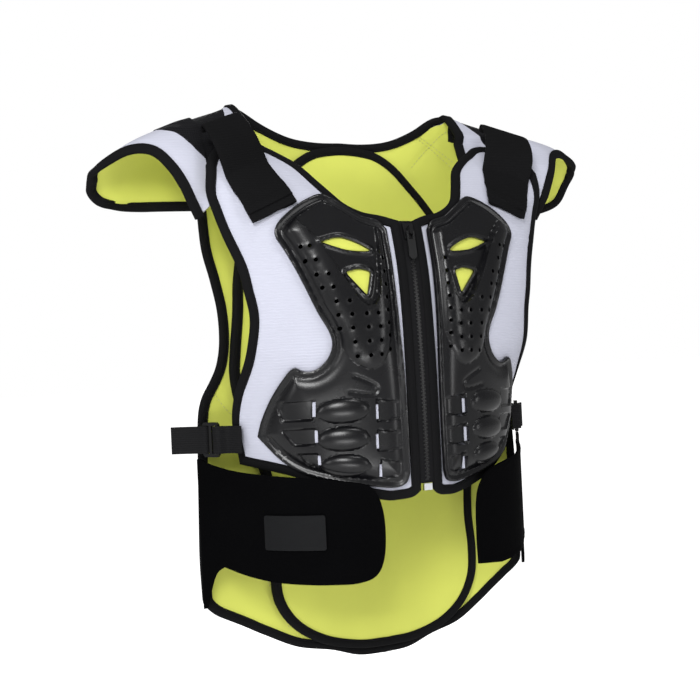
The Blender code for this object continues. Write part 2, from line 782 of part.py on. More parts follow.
def build_back():
    """Back panel with the strips beside the neck, and its bindings."""
    strip = laid_out(STRIP_EDGE)
    half = [
        laid_out(BACK_HEM), laid_out(BACK_TAIL), laid_out(BACK_SIDE), laid_out(SEAM_LOW),
        [laid_out(SEAM_LOW)[-1], strip[0]], strip, [strip[-1], laid_out(NECK)[0]], laid_out(NECK),
    ]
    steps = [EDGE_STEP, EDGE_STEP, EDGE_STEP, CAP_STEP, CAP_STEP, NECK_STEP, CAP_STEP, NECK_STEP]
    runs = half + [mirrored(run) for run in reversed(half)]
    outline, owners = joined(runs, steps + steps[::-1])
    last = len(runs) - 1
    edge_runs = {0, 1, 2, last, last - 1, last - 2}
    neck_runs = {7, 8}
    taped = edge_runs | neck_runs
    widths = [TAPE_WIDTH if owner in taped else SEAM for owner in owners]
    panel_widths = [width + 3 * GAP if width > SEAM else SEAM for width in widths]
    panel_outline = inset(outline, panel_widths, back_at)
    half_wall = PANEL_WALL / 2
    panel("back_panel", panel_outline, back_at, -half_wall, half_wall, PANEL_STEP, "white_foam")
    inner = inset(outline, widths, back_at)
    reach = half_wall + TAPE_PROUD
    for name, chosen in (("back_edge_tape", edge_runs), ("neck_tape", neck_runs)):
        order = run_path(outline, owners, chosen)
        tape(
            name, [outline[i] for i in order], [inner[i] for i in order], back_at, -reach, reach,
            "black_tape", closed=False,
        )


def build_pad():
    half = laid_out(PAD_EDGE)
    outline, _ = joined([half, mirrored(half)], EDGE_STEP)
    base = PANEL_WALL / 2 + TAPE_PROUD + GAP
    inner = inset(outline, [TAPE_WIDTH] * len(outline), back_at)
    pad_outline = inset(outline, [TAPE_WIDTH + GAP] * len(outline), back_at)

    def face(point):
        share = min(edge_distance(point, pad_outline) / PAD_CROWN, 1.0)
        return base + PAD_EDGE_WALL + (PAD_WALL - PAD_EDGE_WALL) * math.sin(share * math.pi / 2)

    panel("back_pad", pad_outline, back_at, base, face, PANEL_STEP, "lime_foam")
    tape("pad_tape", outline, inner, back_at, base, base + PAD_EDGE_WALL + TAPE_PROUD, "black_tape")


def wing_at(side):
    return lambda x, up: Vector((abs(x), *back_at(side * abs(x), up).yz))


def build_shoulder(side, word):
    """Mesh yoke and sleeve cap of one shoulder, with the cap's binding."""
    surface = wing_at(side)
    strip = laid_out(STRIP_EDGE)
    seam = laid_out(SEAM_HIGH)
    outline, _ = joined(
        [[strip[0], seam[0]], seam, [seam[-1], strip[-1]], strip[::-1]],
        [CAP_STEP, CAP_STEP, CAP_STEP, NECK_STEP],
    )
    half = MESH_WALL / 2
    mesh_outline = inset(outline, [SEAM] * len(outline), surface)
    panel("shoulder_mesh_" + word, mesh_outline, surface, -half, half, CAP_STEP, "black_mesh", side)

    runs = [
        laid_out(CAP_EDGE), laid_out(CAP_FRONT), laid_out(SEAM_FRONT)[::-1], seam[::-1],
        laid_out(SEAM_LOW)[::-1], laid_out([SEAM_LOW[0], CAP_EDGE[0]]),
    ]
    outline, owners = joined(runs, CAP_STEP)
    cap_outline = inset(outline, [TAPE_WIDTH + 2 * GAP if owner == 0 else SEAM for owner in owners], surface)
    taped = inset(outline, [TAPE_WIDTH if owner == 0 else SEAM for owner in owners], surface)
    half = PANEL_WALL / 2
    panel("shoulder_cap_" + word, cap_outline, surface, -half, half, CAP_STEP * 1.3, "white_foam", side)
    order = run_path(outline, owners, {0})
    reach = half + TAPE_PROUD
    tape(
        "cap_tape_" + word, [outline[i] for i in order], [taped[i] for i in order], surface, -reach, reach,
        "black_tape", side, closed=False,
    )


def front_outline():
    foot = laid_out(FRONT_HEM)[0]
    runs = [
        laid_out(FRONT_NECK),
        [laid_out(FRONT_NECK)[-1], foot],
        laid_out(FRONT_HEM),
        laid_out(FRONT_SIDE),
        laid_out(FRONT_TOP),
    ]
    return joined(runs, EDGE_STEP)


def build_front(side, word):
    outline, owners = front_outline()
    widths = [CENTRE_TAPE_WIDTH if owner == 1 else TAPE_WIDTH for owner in owners]
    inner = inset(outline, widths, front_at)
    panel_outline = inset(outline, [width + 2 * GAP for width in widths], front_at)
    half = PANEL_WALL / 2
    panel("front_panel_" + word, panel_outline, front_at, -half, half, FRONT_STEP, "white_foam", side)
    reach = half + TAPE_PROUD
    tape("front_tape_" + word, outline, inner, front_at, -reach, reach, "black_tape", side)


def plate_holes():
    holes = [[Vector(p) for p in laid_out(vent)] for vent in VENTS]
    for place, top, foot in SLOTS:
        middle = place * HALF_SHOULDER
        holes.append([
            Vector((middle + across_sign * SLOT_HALF_WIDTH, down * BACK_LENGTH))
            for across_sign, down in ((-1, top), (1, top), (1, foot), (-1, foot))
        ])
    for down, places in HOLE_ROWS:
        for place in places:
            holes.append([
                Vector((
                    place * HALF_SHOULDER + HOLE_RADIUS * math.cos(2 * math.pi * k / HOLE_SIDES),
                    down * BACK_LENGTH + HOLE_RADIUS * math.sin(2 * math.pi * k / HOLE_SIDES),
                ))
                for k in range(HOLE_SIDES)
            ])
    return holes


def hump_share(point):
    """How far up a hump a point is, from 0 at its foot to 1 on top."""
    best = 0.0
    for place, down, half_width, half_height in HUMPS:
        reach = math.hypot(
            (point.x - place * HALF_SHOULDER) / (half_width * HALF_SHOULDER),
            (point.y - down * BACK_LENGTH) / (half_height * BACK_LENGTH),
        )
        if reach < 1.0:
            best = max(best, math.cos(reach * math.pi / 2))
    return best


def build_plate(side, word):
    outline, _ = joined([laid_out(run) for run in PLATE_EDGE], PLATE_EDGE_STEP)
    holes = plate_holes()

    def rise(point):
        share = min(max((edge_distance(point, outline) - PLATE_RIM) / PLATE_SLOPE, 0.0), 1.0)
        return PLATE_RISE * (3 * share ** 2 - 2 * share ** 3) + HUMP_RISE * hump_share(point)

    points = []
    for width in (PLATE_RIM, PLATE_RIM + PLATE_SLOPE):
        for point in inset(outline, [width] * len(outline), front_at):
            clear = all(not inside(point, hole) and edge_distance(point, hole) > 0.004 for hole in holes)
            if clear and inside(point, outline) and edge_distance(point, outline) > 0.8 * width:
                if all((point - other).length > 0.4 * PLATE_EDGE_STEP for other in points):
                    points.append(point)
    for place, down, half_width, half_height in HUMPS:
        middle = Vector((place * HALF_SHOULDER, down * BACK_LENGTH))
        points.append(middle)
        for reach in (0.55, 1.0):
            for k in range(8):
                angle = 2 * math.pi * (k + 0.5) / 8
                points.append(middle + Vector((
                    reach * half_width * HALF_SHOULDER * math.cos(angle),
                    reach * half_height * BACK_LENGTH * math.sin(angle),
                )))
    base = PANEL_WALL / 2 + TAPE_PROUD + 2 * GAP
    panel(
        "chest_plate_" + word, outline, front_at,
        lambda point: base + rise(point), lambda point: base + PLATE_WALL + rise(point),
        PLATE_STEP, "black_plate", side, holes, points,
    )


def build_strap(side, word):
    surface = wing_at(side)
    lift = PANEL_WALL / 2 + GAP + STRAP_WALL / 2
    inner_knots = []
    outer_knots = []
    for inner_across, outer_across, up in STRAP_BACK:
        for place, knots in ((inner_across, inner_knots), (outer_across, outer_knots)):
            here, _, _, normal = frame_at(surface, place * HALF_SHOULDER, up * BACK_LENGTH)
            knots.append(here - normal * (lift + 4 * GAP))
    for inner_edge, outer_edge in STRAP_ROWS:
        for edge, knots in ((inner_edge, inner_knots), (outer_edge, outer_knots)):
            knots.append(Vector((edge[0] * HALF_SHOULDER, edge[1] * DEPTH, edge[2] * BACK_LENGTH)))
    top = FRONT_TOP[3][1] * BACK_LENGTH
    tab_lift = PANEL_WALL / 2 + TAPE_PROUD + GAP + STRAP_TAB_WALL / 2
    plain_lift = PANEL_WALL / 2 + TAPE_PROUD + GAP + STRAP_WALL / 2

    def middle(width_share, along):
        place = along * (len(inner_knots) - 1)
        point = catmull(inner_knots, place).lerp(catmull(outer_knots, place), width_share)
        if point.z < top:
            _, _, _, normal = frame_at(front_at, point.x, point.z)
            share = min(max((along - STRAP_TAB_START) / 0.02, 0.0), 1.0)
            clear = plain_lift + (tab_lift - plain_lift) * share
            point.y = min(point.y, front_depth(point.x, point.z) + clear / normal.y)
        return point

    def wall(along):
        return STRAP_TAB_WALL if along > STRAP_TAB_START else STRAP_WALL

    ribbon("shoulder_strap_" + word, middle, STRAP_LENGTHS, 4, wall, "black_elastic", side)


def build_zip():
    """Zip tapes and teeth on the ridge, with the slider at the top and the end stop at the foot."""
    top = FRONT_NECK[-1][1] * BACK_LENGTH
    foot = ZIP_FOOT * BACK_LENGTH

    def strip(name, low_x, high_x, wall, material_name, side=1):
        corners = [(low_x, foot), (high_x, foot), (high_x, top), (low_x, top)]
        outline, _ = joined([[a, b] for a, b in zip(corners, corners[1:] + corners[:1])], ZIP_STEP)
        panel(name, outline, front_at, -wall / 2, wall / 2, 0, material_name, side)

    for side, word in ((1, "left"), (-1, "right")):
        strip("zip_tape_" + word, TEETH_HALF_WIDTH + GAP, ZIP_HALF_GAP - GAP, ZIP_TAPE_WALL, "zip_tape", side)
    strip("zip_teeth", -TEETH_HALF_WIDTH, TEETH_HALF_WIDTH, TEETH_WALL, "black_plastic")

    slider_top = top - 0.003
    slider_foot = slider_top - SLIDER_HEIGHT
    tilt = math.atan2(front_depth(0, slider_top) - front_depth(0, slider_foot), SLIDER_HEIGHT)
    middle = 0.5 * (front_at(0, slider_top) + front_at(0, slider_foot))

    def placed(x, out, up):
        """World point for a place on the slider: out from the teeth's face and up along them."""
        reach = TEETH_WALL / 2 + out
        return middle + Vector((
            x, -reach * math.cos(tilt) + up * math.sin(tilt), reach * math.sin(tilt) + up * math.cos(tilt),
        ))

    def block(name, half_x, outs, ups):
        points = [placed(x, out, up) for up in ups for out in outs for x in (-half_x, half_x)]
        return box(name, points, "black_plastic")

    slider = block(
        "zip_slider", SLIDER_HALF_WIDTH, (0.0, SLIDER_WALL), (-SLIDER_HEIGHT / 2, SLIDER_HEIGHT / 2),
    )
    crown = SLIDER_WALL + BRIDGE_REACH
    half_bridge = BRIDGE_HEIGHT / 2
    fuse(slider, block(
        "bridge", BRIDGE_HALF_WIDTH, (SLIDER_WALL / 2, crown), (half_bridge - BRIDGE_BAR, half_bridge),
    ))
    fuse(slider, block(
        "bridge", BRIDGE_HALF_WIDTH, (SLIDER_WALL / 2, crown), (-half_bridge, BRIDGE_BAR - half_bridge),
    ))
    fuse(slider, block(
        "bridge", BRIDGE_HALF_WIDTH * 0.999, (crown - BRIDGE_BAR, crown * 0.999),
        (-half_bridge * 0.999, half_bridge * 0.999),
    ))

    space = BRIDGE_REACH - BRIDGE_BAR
    pivot = placed(0.0, SLIDER_WALL + 0.58 * space, -half_bridge + BRIDGE_BAR + 1.5 * GAP + PULL_BAR / 2)
    build_pull(pivot)

    stop = [
        front_at(0, foot - GAP - drop) + Vector((x, out * STOP_WALL / 2, 0))
        for drop in (STOP_HEIGHT, 0.0) for out in (-1, 1) for x in (-STOP_HALF_WIDTH, STOP_HALF_WIDTH)
    ]
    box("zip_end_stop", stop, "zip_metal")


def box(name, points, material_name):
    """Box from eight corners: right before left, then out before in, then low before high."""
    faces = [(0, 1, 3, 2), (4, 6, 7, 5), (0, 4, 5, 1), (2, 3, 7, 6), (0, 2, 6, 4), (1, 5, 7, 3)]
    return add_solid(name, points, faces, material_name)


def fuse(target, other):
    """Unites another solid with the target and removes it."""
    union = target.modifiers.new("union", "BOOLEAN")
    union.operation = "UNION"
    union.object = other
    depsgraph = bpy.context.evaluated_depsgraph_get()
    united = bpy.data.meshes.new_from_object(target.evaluated_get(depsgraph))
    target.modifiers.clear()
    target.data = united
    bpy.data.objects.remove(other, do_unlink=True)


def build_pull(pivot):
    """Pull tab, lying along the chest from its eye's upper bar, which turns in the slider's bridge."""
    top = PULL_BAR / 2
    half = PULL_WIDTH / 2
    eye = PULL_EYE_WIDTH / 2
    foot = top - PULL_LENGTH
    corner = 0.0025
    outline = [Vector(p) for p in (
        (-half, top), (-half, foot + corner), (-half + corner, foot), (half - corner, foot),
        (half, foot + corner), (half, top),
    )]
    hole = [Vector(p) for p in (
        (-eye, top - PULL_BAR), (-eye, top - PULL_BAR - PULL_EYE_LENGTH),
        (eye, top - PULL_BAR - PULL_EYE_LENGTH), (eye, top - PULL_BAR),
    )]
    rest = front_depth(0.0, pivot.z + foot) - TEETH_WALL / 2 - PULL_WALL / 2 - PULL_CLEAR
    tilt = math.asin(max((pivot.y - rest) / -foot, 0.0))
    made = panel(
        "zip_pull", outline, lambda x, z: Vector((x, z * math.sin(tilt), z * math.cos(tilt))),
        -PULL_WALL / 2, PULL_WALL / 2, 0, "black_plastic", holes=[hole],
    )
    made.location = pivot


def belt_outline(side):
    scale = [(turn, down * BACK_LENGTH) for turn, down in BELT_TOP]
    end = BELT_END_RIGHT if side == -1 else BELT_END_LEFT
    top = [point for point in scale if point[0] < end[0][0]]
    end_run = [(turn, down * BACK_LENGTH) for turn, down in end]
    foot = [(turn, down * BACK_LENGTH) for turn, down in BELT_FOOT]
    root = [(turn, down * BACK_LENGTH) for turn, down in BELT_ROOT_FOOT]
    if side == -1:
        runs = [top + end_run + foot, root, [root[-1], top[0]]]
    else:
        runs = [top + end_run, [end_run[-1], foot[0]], foot, root, [root[-1], top[0]]]
    return runs


def build_belt(side, word):
    """One elastic belt flap, and on the wearer's right the bare rectangle on it."""
    metre = math.radians(1.0) * HALF_SHOULDER * 0.8

    def surface(along, z):
        return belt_at(along / metre, z)

    runs = [[(turn * metre, down) for turn, down in run] for run in belt_outline(side)]
    outline, _ = joined(runs, EDGE_STEP)
    outline.reverse()
    half = BELT_WALL / 2
    panel("belt_flap_" + word, outline, surface, -half, half, BELT_STEP, "black_elastic", side)
    if side == -1:
        low_turn, high_turn = (turn * metre for turn in PATCH_TURN)
        high, low = (down * BACK_LENGTH for down in PATCH_DOWN)
        corners = [(low_turn, low), (low_turn, high), (high_turn, high), (high_turn, low)]
        runs = [[start, end] for start, end in zip(corners, corners[1:] + corners[:1])]
        outline, _ = joined(runs, BELT_STEP)
        foot = -half - PATCH_LIFT
        panel("belt_patch", outline, surface, foot - PATCH_WALL, foot, BELT_STEP, "grey_patch", side)


def build_fastening(side, word):
    """Side tab, ladder lock and webbing between the front panel's edge and the back panel's."""
    level = FASTENING_DOWN * BACK_LENGTH
    downs = [row[1] for row in FRONT_SIDE]
    k = next(i for i in range(len(downs) - 1) if downs[i + 1] > FASTENING_DOWN)
    share = (FASTENING_DOWN - downs[k]) / (downs[k + 1] - downs[k])
    front_across = FRONT_SIDE[k][0] + share * (FRONT_SIDE[k + 1][0] - FRONT_SIDE[k][0])
    lift = PANEL_WALL / 2 + TAPE_PROUD + 2 * GAP + WEBBING_WALL / 2
    on_front = []
    for place in (front_across - TAB_HOLD, front_across):
        here, _, _, normal = frame_at(front_at, place * HALF_SHOULDER, level)
        normal.z = 0.0
        on_front.append(here + normal.normalized() * (lift + TAB_EASE))
    on_back = [
        back_at(place * HALF_SHOULDER, level) - Vector((0.0, lift, 0.0))
        for place in (FASTENING_BACK - TAB_HOLD, FASTENING_BACK)
    ]
    start = Vector((on_front[1].x, on_front[1].y, level))
    end = Vector((on_back[1].x, on_back[1].y, level))
    along = (end - start).normalized()
    out = Vector((along.y, -along.x, 0.0))
    middle = start + along * (FASTENING_PLACE * (end - start).length) + out * FASTENING_BULGE

    def seen_from_lock(points):
        return [((point - middle).dot(along), (point - middle).dot(out)) for point in points]

    def strip(name, path):
        points = smooth_run(path, WEBBING_STEP)
        sides = {1: [], -1: []}
        for i, point in enumerate(points):
            run = points[min(i + 1, len(points) - 1)] - points[max(i - 1, 0)]
            normal = Vector((-run.y, run.x)).normalized() * (WEBBING_WALL / 2)
            for sign in sides:
                sides[sign].append(point + normal * sign)
        outline = sides[-1] + sides[1][::-1]

        def surface(t, n):
            return middle + along * t + out * n

        panel(name, outline, surface, -WEBBING_WIDTH / 2, WEBBING_WIDTH / 2, 0, "black_webbing", side)

    def scaled(path):
        return [(t * LOCK_LENGTH, n * LOCK_WALL) for t, n in path]

    strip("side_tab_" + word, seen_from_lock(on_front) + scaled(TAB_PATH))
    strip("side_webbing_" + word, seen_from_lock(on_back) + scaled(WEBBING_PATH))

    half_length = LOCK_LENGTH / 2
    half_height = WEBBING_WIDTH / 2 + GAP + LOCK_RIM
    slot_height = WEBBING_WIDTH / 2 + GAP

    def lock_surface(t, z):
        return middle + along * t + Vector((0.0, 0.0, z))

    def rectangle(low, high, half):
        return [Vector(p) for p in ((low, -half), (high, -half), (high, half), (low, half))]

    slots = [
        rectangle(-half_length + LOCK_BAR, -LOCK_BAR / 2, slot_height),
        rectangle(LOCK_BAR / 2, half_length - LOCK_BAR, slot_height),
    ]
    outline = [Vector(p) for p in (
        (-half_length, -half_height + 0.002), (-half_length + 0.002, -half_height),
        (half_length - 0.002, -half_height), (half_length, -half_height + 0.002),
        (half_length, half_height - 0.002), (half_length - 0.002, half_height),
        (-half_length + 0.002, half_height), (-half_length, half_height - 0.002),
    )]
    panel(
        "side_lock_" + word, outline, lock_surface, -LOCK_WALL / 2, LOCK_WALL / 2, 0, "black_plastic",
        side, slots,
    )


def main():
    clear_scene()
    build_back()
    build_pad()
    for side, word in ((1, "left"), (-1, "right")):
        build_shoulder(side, word)
        build_front(side, word)
        build_plate(side, word)
        build_strap(side, word)
        build_belt(side, word)
        build_fastening(side, word)
    build_zip()


main()
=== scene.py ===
"""Motorcycle body protector for a young rider: fine cloth, bindings, moulded plates and finishes.

The patterns and surfaces are those of the solids, filled finely, with the relief, seams and
profiles that the solids leave out.
"""
import math

import bmesh
import bpy
import numpy as np
from mathutils import Matrix, Vector
from mathutils.geometry import delaunay_2d_cdt


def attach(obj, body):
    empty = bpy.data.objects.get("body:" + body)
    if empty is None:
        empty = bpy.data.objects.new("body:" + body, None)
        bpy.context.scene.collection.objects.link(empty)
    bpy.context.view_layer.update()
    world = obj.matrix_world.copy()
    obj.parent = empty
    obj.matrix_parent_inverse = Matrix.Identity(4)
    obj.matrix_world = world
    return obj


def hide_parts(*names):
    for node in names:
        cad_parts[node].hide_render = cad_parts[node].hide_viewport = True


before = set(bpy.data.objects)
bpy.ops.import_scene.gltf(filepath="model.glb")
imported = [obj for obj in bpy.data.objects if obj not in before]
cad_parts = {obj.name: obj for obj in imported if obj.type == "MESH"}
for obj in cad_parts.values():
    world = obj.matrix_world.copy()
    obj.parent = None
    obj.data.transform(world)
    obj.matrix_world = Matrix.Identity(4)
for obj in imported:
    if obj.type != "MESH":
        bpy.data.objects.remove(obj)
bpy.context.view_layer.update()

# Driving sizes in metres. Tables give across in HALF_SHOULDER, down and up in BACK_LENGTH and
# depth in DEPTH.
HALF_SHOULDER = 0.200
CAP_OVERHANG = 0.063
BACK_LENGTH = 0.500
DEPTH = 0.160
CAP_DROOP = {1: -0.009, -1: 0.009}
TAIL_LEAN = 0.022
TAIL_HALF_WIDTH = 0.160
RIDGE_WIDTH = 0.022
FRONT_DRAW_IN = 0.457

# Walls, tapes and clearances.
PANEL_WALL = 0.005
PAD_WALL = 0.0115
PAD_EDGE_WALL = 0.0075
PAD_CROWN = 0.030
PLATE_WALL = 0.0025
STRAP_WALL = 0.003
STRAP_TAB_WALL = 0.006
PATCH_WALL = 0.0012
TAPE_WIDTH = 0.009
CENTRE_TAPE_WIDTH = 0.008
TAPE_PROUD = 0.0005
WEBBING_WIDTH = 0.025
WEBBING_WALL = 0.0015
GAP = 0.0004

# Steps of outlines and fills, and of slopes taken from differences.
OUTLINE_STEP = 0.004
LEAST_STEP = 0.0012
FINE = 0.0038
BACK_FINE = 0.0036
PAD_FINE = 0.0046
PLATE_OUTLINE_STEP = 0.0020
PLATE_FINE = 0.0013
BELT_OUTLINE_STEP = 0.0035
BELT_FINE = 0.0030
SMALL_STEP = 0.002
PATCH_FINE = 0.0022
DIFFERENCE = 0.0002

# Zip sizes.
ZIP_HALF_GAP = 0.0065
TOOTH_PITCH = 0.0017
TOOTH_REACH = 0.0022
TOOTH_ROOT = 0.0010
ZIP_CORE_HALF_WIDTH = 0.0012
ZIP_TAPE_WALL = 0.0016
ZIP_FOOT = -0.692

# Ladder lock sizes.
LOCK_LENGTH = 0.019
LOCK_WALL = 0.003
TURN_METRE = math.radians(1.0) * HALF_SHOULDER * 0.8

# Front surface, from the shoulders down: depth at the centre line and at FRONT_EDGE, then how far
# it falls back beside the zip's ridge and again toward the sides. What falls back is also drawn
# in toward the zip.
FRONT_EDGE = 0.825
FRONT_ROUND = 0.90
FRONT_ROWS = (
    # down, centre depth, edge depth, fall beside the ridge, fall at the edge
    (-0.04, -0.220, -0.330, 0.000, 0.000),
    (-0.08, -0.340, -0.430, 0.000, 0.000),
    (-0.11, -0.443, -0.500, 0.000, 0.000),
    (-0.15, -0.585, -0.538, 0.005, 0.000),
    (-0.18, -0.690, -0.556, 0.020, 0.000),
    (-0.22, -0.765, -0.575, 0.040, 0.000),
    (-0.26, -0.808, -0.590, 0.050, 0.000),
    (-0.31, -0.845, -0.594, 0.050, 0.000),
    (-0.37, -0.868, -0.580, 0.050, 0.000),
    (-0.44, -0.881, -0.512, 0.050, 0.000),
    (-0.50, -0.888, -0.410, 0.050, 0.045),
    (-0.56, -0.891, -0.340, 0.050, 0.095),
    (-0.64, -0.893, -0.322, 0.050, 0.135),
    (-0.90, -0.894, -0.312, 0.050, 0.137),
)

# Back surface below the shoulders: depth at the centre line and at BACK_EDGE.
BACK_EDGE = 0.865
BACK_ROWS = (
    # down, centre depth, edge depth
    (-0.19, 0.062, 0.025),
    (-0.28, 0.056, -0.025),
    (-0.40, 0.053, -0.075),
    (-0.52, 0.050, -0.106),
    (-0.64, 0.050, -0.112),
    (-1.08, 0.050, -0.112),
)

# Shoulder arch above SPRING, one row for each station across, each with depth and height at
# equal steps of ARCH_STEP from the back over the top to the front.
SPRING = -0.19
ARCH_STEP = 0.08
ARCH_ROWS = (
    # across, then depth and height six times
    (0.425, (
        (0.069, -0.110), (0.075, -0.030), (0.038, 0.027),
        (-0.150, 0.000), (-0.312, -0.060), (-0.520, -0.150),
    )),
    (0.560, (
        (0.069, -0.110), (0.081, -0.030), (0.038, 0.031),
        (-0.162, -0.012), (-0.344, -0.072), (-0.540, -0.165),
    )),
    (0.700, (
        (0.066, -0.110), (0.066, -0.038), (-0.025, 0.009),
        (-0.206, -0.020), (-0.362, -0.076), (-0.520, -0.180),
    )),
    (0.850, (
        (0.044, -0.116), (0.030, -0.052), (-0.075, -0.014),
        (-0.262, -0.032), (-0.400, -0.086), (-0.480, -0.200),
    )),
    (1.000, (
        (0.019, -0.128), (-0.012, -0.070), (-0.125, -0.036),
        (-0.290, -0.048), (-0.430, -0.108), (-0.490, -0.206),
    )),
    (1.475, (
        (-0.019, -0.148), (-0.050, -0.100), (-0.150, -0.062),
        (-0.288, -0.072), (-0.388, -0.128), (-0.425, -0.212),
    )),
    (2.000, (
        (-0.056, -0.164), (-0.081, -0.132), (-0.156, -0.104),
        (-0.262, -0.112), (-0.338, -0.152), (-0.362, -0.216),
    )),
)
DROOP_START = 0.78

# Outlines of the back panel, on the wearer's left half, in across and up.
BACK_HEM = ((0.0, -1.070), (0.14, -1.066), (0.28, -1.046), (0.45, -1.026), (0.60, -0.990), (0.69, -0.965))
BACK_TAIL = ((0.69, -0.965), (0.81, -0.932), (0.86, -0.912), (0.87, -0.900))
BACK_SIDE = (
    (0.87, -0.900), (0.875, -0.826), (0.868, -0.730), (0.860, -0.640), (0.850, -0.566), (0.828, -0.530),
    (0.785, -0.500), (0.745, -0.466), (0.720, -0.420), (0.716, -0.362), (0.738, -0.306), (0.762, -0.264),
    (0.772, -0.232), (0.775, -0.172),
)
NECK = (
    (0.505, 0.235), (0.520, 0.210), (0.545, 0.165), (0.565, 0.100), (0.572, 0.050), (0.545, 0.040),
    (0.500, 0.027), (0.435, 0.010), (0.375, -0.004), (0.295, -0.018), (0.215, -0.026), (0.110, -0.030),
    (0.0, -0.029),
)

# Seams of the shoulder in across and up: the cap's, from its foot to its front, and the edge of
# the strip beside the neck. The mesh yoke fills what lies between them.
SEAM_LOW = ((0.775, -0.172), (0.800, -0.100), (0.822, -0.012))
SEAM_HIGH = ((0.822, -0.012), (0.832, 0.100), (0.836, 0.235))
SEAM_FRONT = ((0.836, 0.235), (0.838, 0.280))
STRIP_EDGE = ((0.630, -0.012), (0.635, 0.060), (0.740, 0.235))
CAP_EDGE = (
    (0.786, -0.172), (0.965, -0.172), (1.20, -0.171), (1.48, -0.164), (1.68, -0.144), (1.84, -0.108),
    (1.94, -0.062), (2.00, -0.008), (2.00, 0.040), (1.93, 0.082), (1.76, 0.112), (1.52, 0.134),
    (1.24, 0.168), (1.04, 0.216), (0.955, 0.258), (0.898, 0.292),
)
CAP_FRONT = ((0.898, 0.292), (0.838, 0.280))

# Outline of the inner back pad, on the wearer's left half, in across and up.
PAD_EDGE = (
    (0.0, -1.052), (0.16, -1.048), (0.34, -1.026), (0.48, -0.986), (0.56, -0.932), (0.575, -0.870),
    (0.560, -0.800), (0.575, -0.720), (0.640, -0.620), (0.690, -0.550), (0.706, -0.490), (0.690, -0.440),
    (0.655, -0.370), (0.630, -0.300), (0.585, -0.230), (0.475, -0.164), (0.395, -0.124), (0.290, -0.080),
    (0.180, -0.052), (0.070, -0.042), (0.0, -0.040),
)

# Outline of a front panel, in across and down.
FRONT_NECK = (
    (0.530, -0.072), (0.482, -0.084), (0.402, -0.110), (0.343, -0.148), (0.285, -0.184), (0.205, -0.203),
    (0.115, -0.211), (0.0325, -0.222),
)
FRONT_HEM = (
    (0.0325, -0.704), (0.070, -0.715), (0.135, -0.719), (0.210, -0.718), (0.400, -0.698), (0.580, -0.670),
    (0.760, -0.650),
)
FRONT_SIDE = (
    (0.760, -0.650), (0.765, -0.632), (0.780, -0.574), (0.775, -0.520), (0.760, -0.486), (0.745, -0.450),
    (0.735, -0.390), (0.755, -0.342), (0.775, -0.300), (0.820, -0.246), (0.850, -0.198), (0.870, -0.160),
    (0.858, -0.114),
)
FRONT_TOP = (
    (0.858, -0.114), (0.820, -0.090), (0.750, -0.068), (0.665, -0.054), (0.590, -0.057), (0.530, -0.072),
)

# Outline and openings of a chest plate, in across and down.
PLATE_EDGE = (
    ((0.105, -0.240), (0.145, -0.224), (0.225, -0.214), (0.305, -0.192), (0.375, -0.177), (0.460, -0.186),
     (0.540, -0.204), (0.600, -0.226), (0.615, -0.246), (0.585, -0.272), (0.535, -0.316), (0.470, -0.378),
     (0.420, -0.416), (0.408, -0.440), (0.430, -0.464), (0.475, -0.480), (0.515, -0.482), (0.555, -0.474)),
    ((0.555, -0.474), (0.582, -0.482), (0.635, -0.522), (0.670, -0.566), (0.685, -0.596)),
    ((0.685, -0.596), (0.605, -0.640), (0.515, -0.666), (0.380, -0.682), (0.280, -0.690), (0.170, -0.696),
     (0.105, -0.690), (0.082, -0.672)),
    ((0.082, -0.672), (0.080, -0.600), (0.084, -0.500), (0.094, -0.420), (0.102, -0.330), (0.105, -0.240)),
)
VENTS = (
    ((0.435, -0.262), (0.335, -0.256), (0.215, -0.280), (0.305, -0.280), (0.375, -0.272)),
    ((0.340, -0.316), (0.280, -0.311), (0.225, -0.316), (0.250, -0.358)),
)
SLOT_HALF_WIDTH = 0.0014
SLOTS = (
    # across, upper end down, lower end down
    (0.477, -0.534, -0.564),
    (0.470, -0.586, -0.610),
    (0.463, -0.632, -0.650),
    (0.228, -0.546, -0.574),
    (0.232, -0.598, -0.626),
    (0.222, -0.652, -0.676),
)
HOLE_RADIUS = 0.0018
HOLE_CORNERS = 10
HOLE_ROWS = (
    # down, then across once for each hole
    (-0.272, (0.520, 0.485)),
    (-0.296, (0.505, 0.465)),
    (-0.320, (0.465, 0.418)),
    (-0.342, (0.445, 0.402)),
    (-0.366, (0.392, 0.338)),
    (-0.389, (0.385, 0.330, 0.268, 0.215)),
    (-0.412, (0.378, 0.328, 0.262, 0.208)),
    (-0.436, (0.320, 0.260, 0.206)),
    (-0.460, (0.310, 0.256, 0.205)),
    (-0.296, (0.162,)),
    (-0.318, (0.161,)),
    (-0.340, (0.160,)),
    (-0.362, (0.160,)),
    (-0.384, (0.160,)),
    (-0.406, (0.158,)),
    (-0.428, (0.156,)),
    (-0.452, (0.155,)),
)
HUMPS = (
    # across, down, half width, half height
    (0.365, -0.554, 0.100, 0.022),
    (0.365, -0.604, 0.098, 0.021),
    (0.362, -0.652, 0.092, 0.020),
)

# Shoulder strap: each row has its inner and outer edge as across, depth and height. STRAP_BACK
# gives across of both edges and up, where the strap lies on the yoke.
STRAP_BACK = (
    (0.700, 0.885, 0.000),
    (0.698, 0.880, 0.035),
)
STRAP_ROWS = (
    ((0.672, -0.190, 0.014), (0.866, -0.270, -0.010)),
    ((0.645, -0.335, -0.010), (0.848, -0.460, -0.044)),
    ((0.605, -0.455, -0.054), (0.820, -0.560, -0.090)),
    ((0.555, -0.500, -0.116), (0.775, -0.570, -0.148)),
    ((0.525, -0.600, -0.146), (0.742, -0.620, -0.178)),
    ((0.498, -0.680, -0.180), (0.706, -0.650, -0.212)),
)
STRAP_TAB_START = 0.93

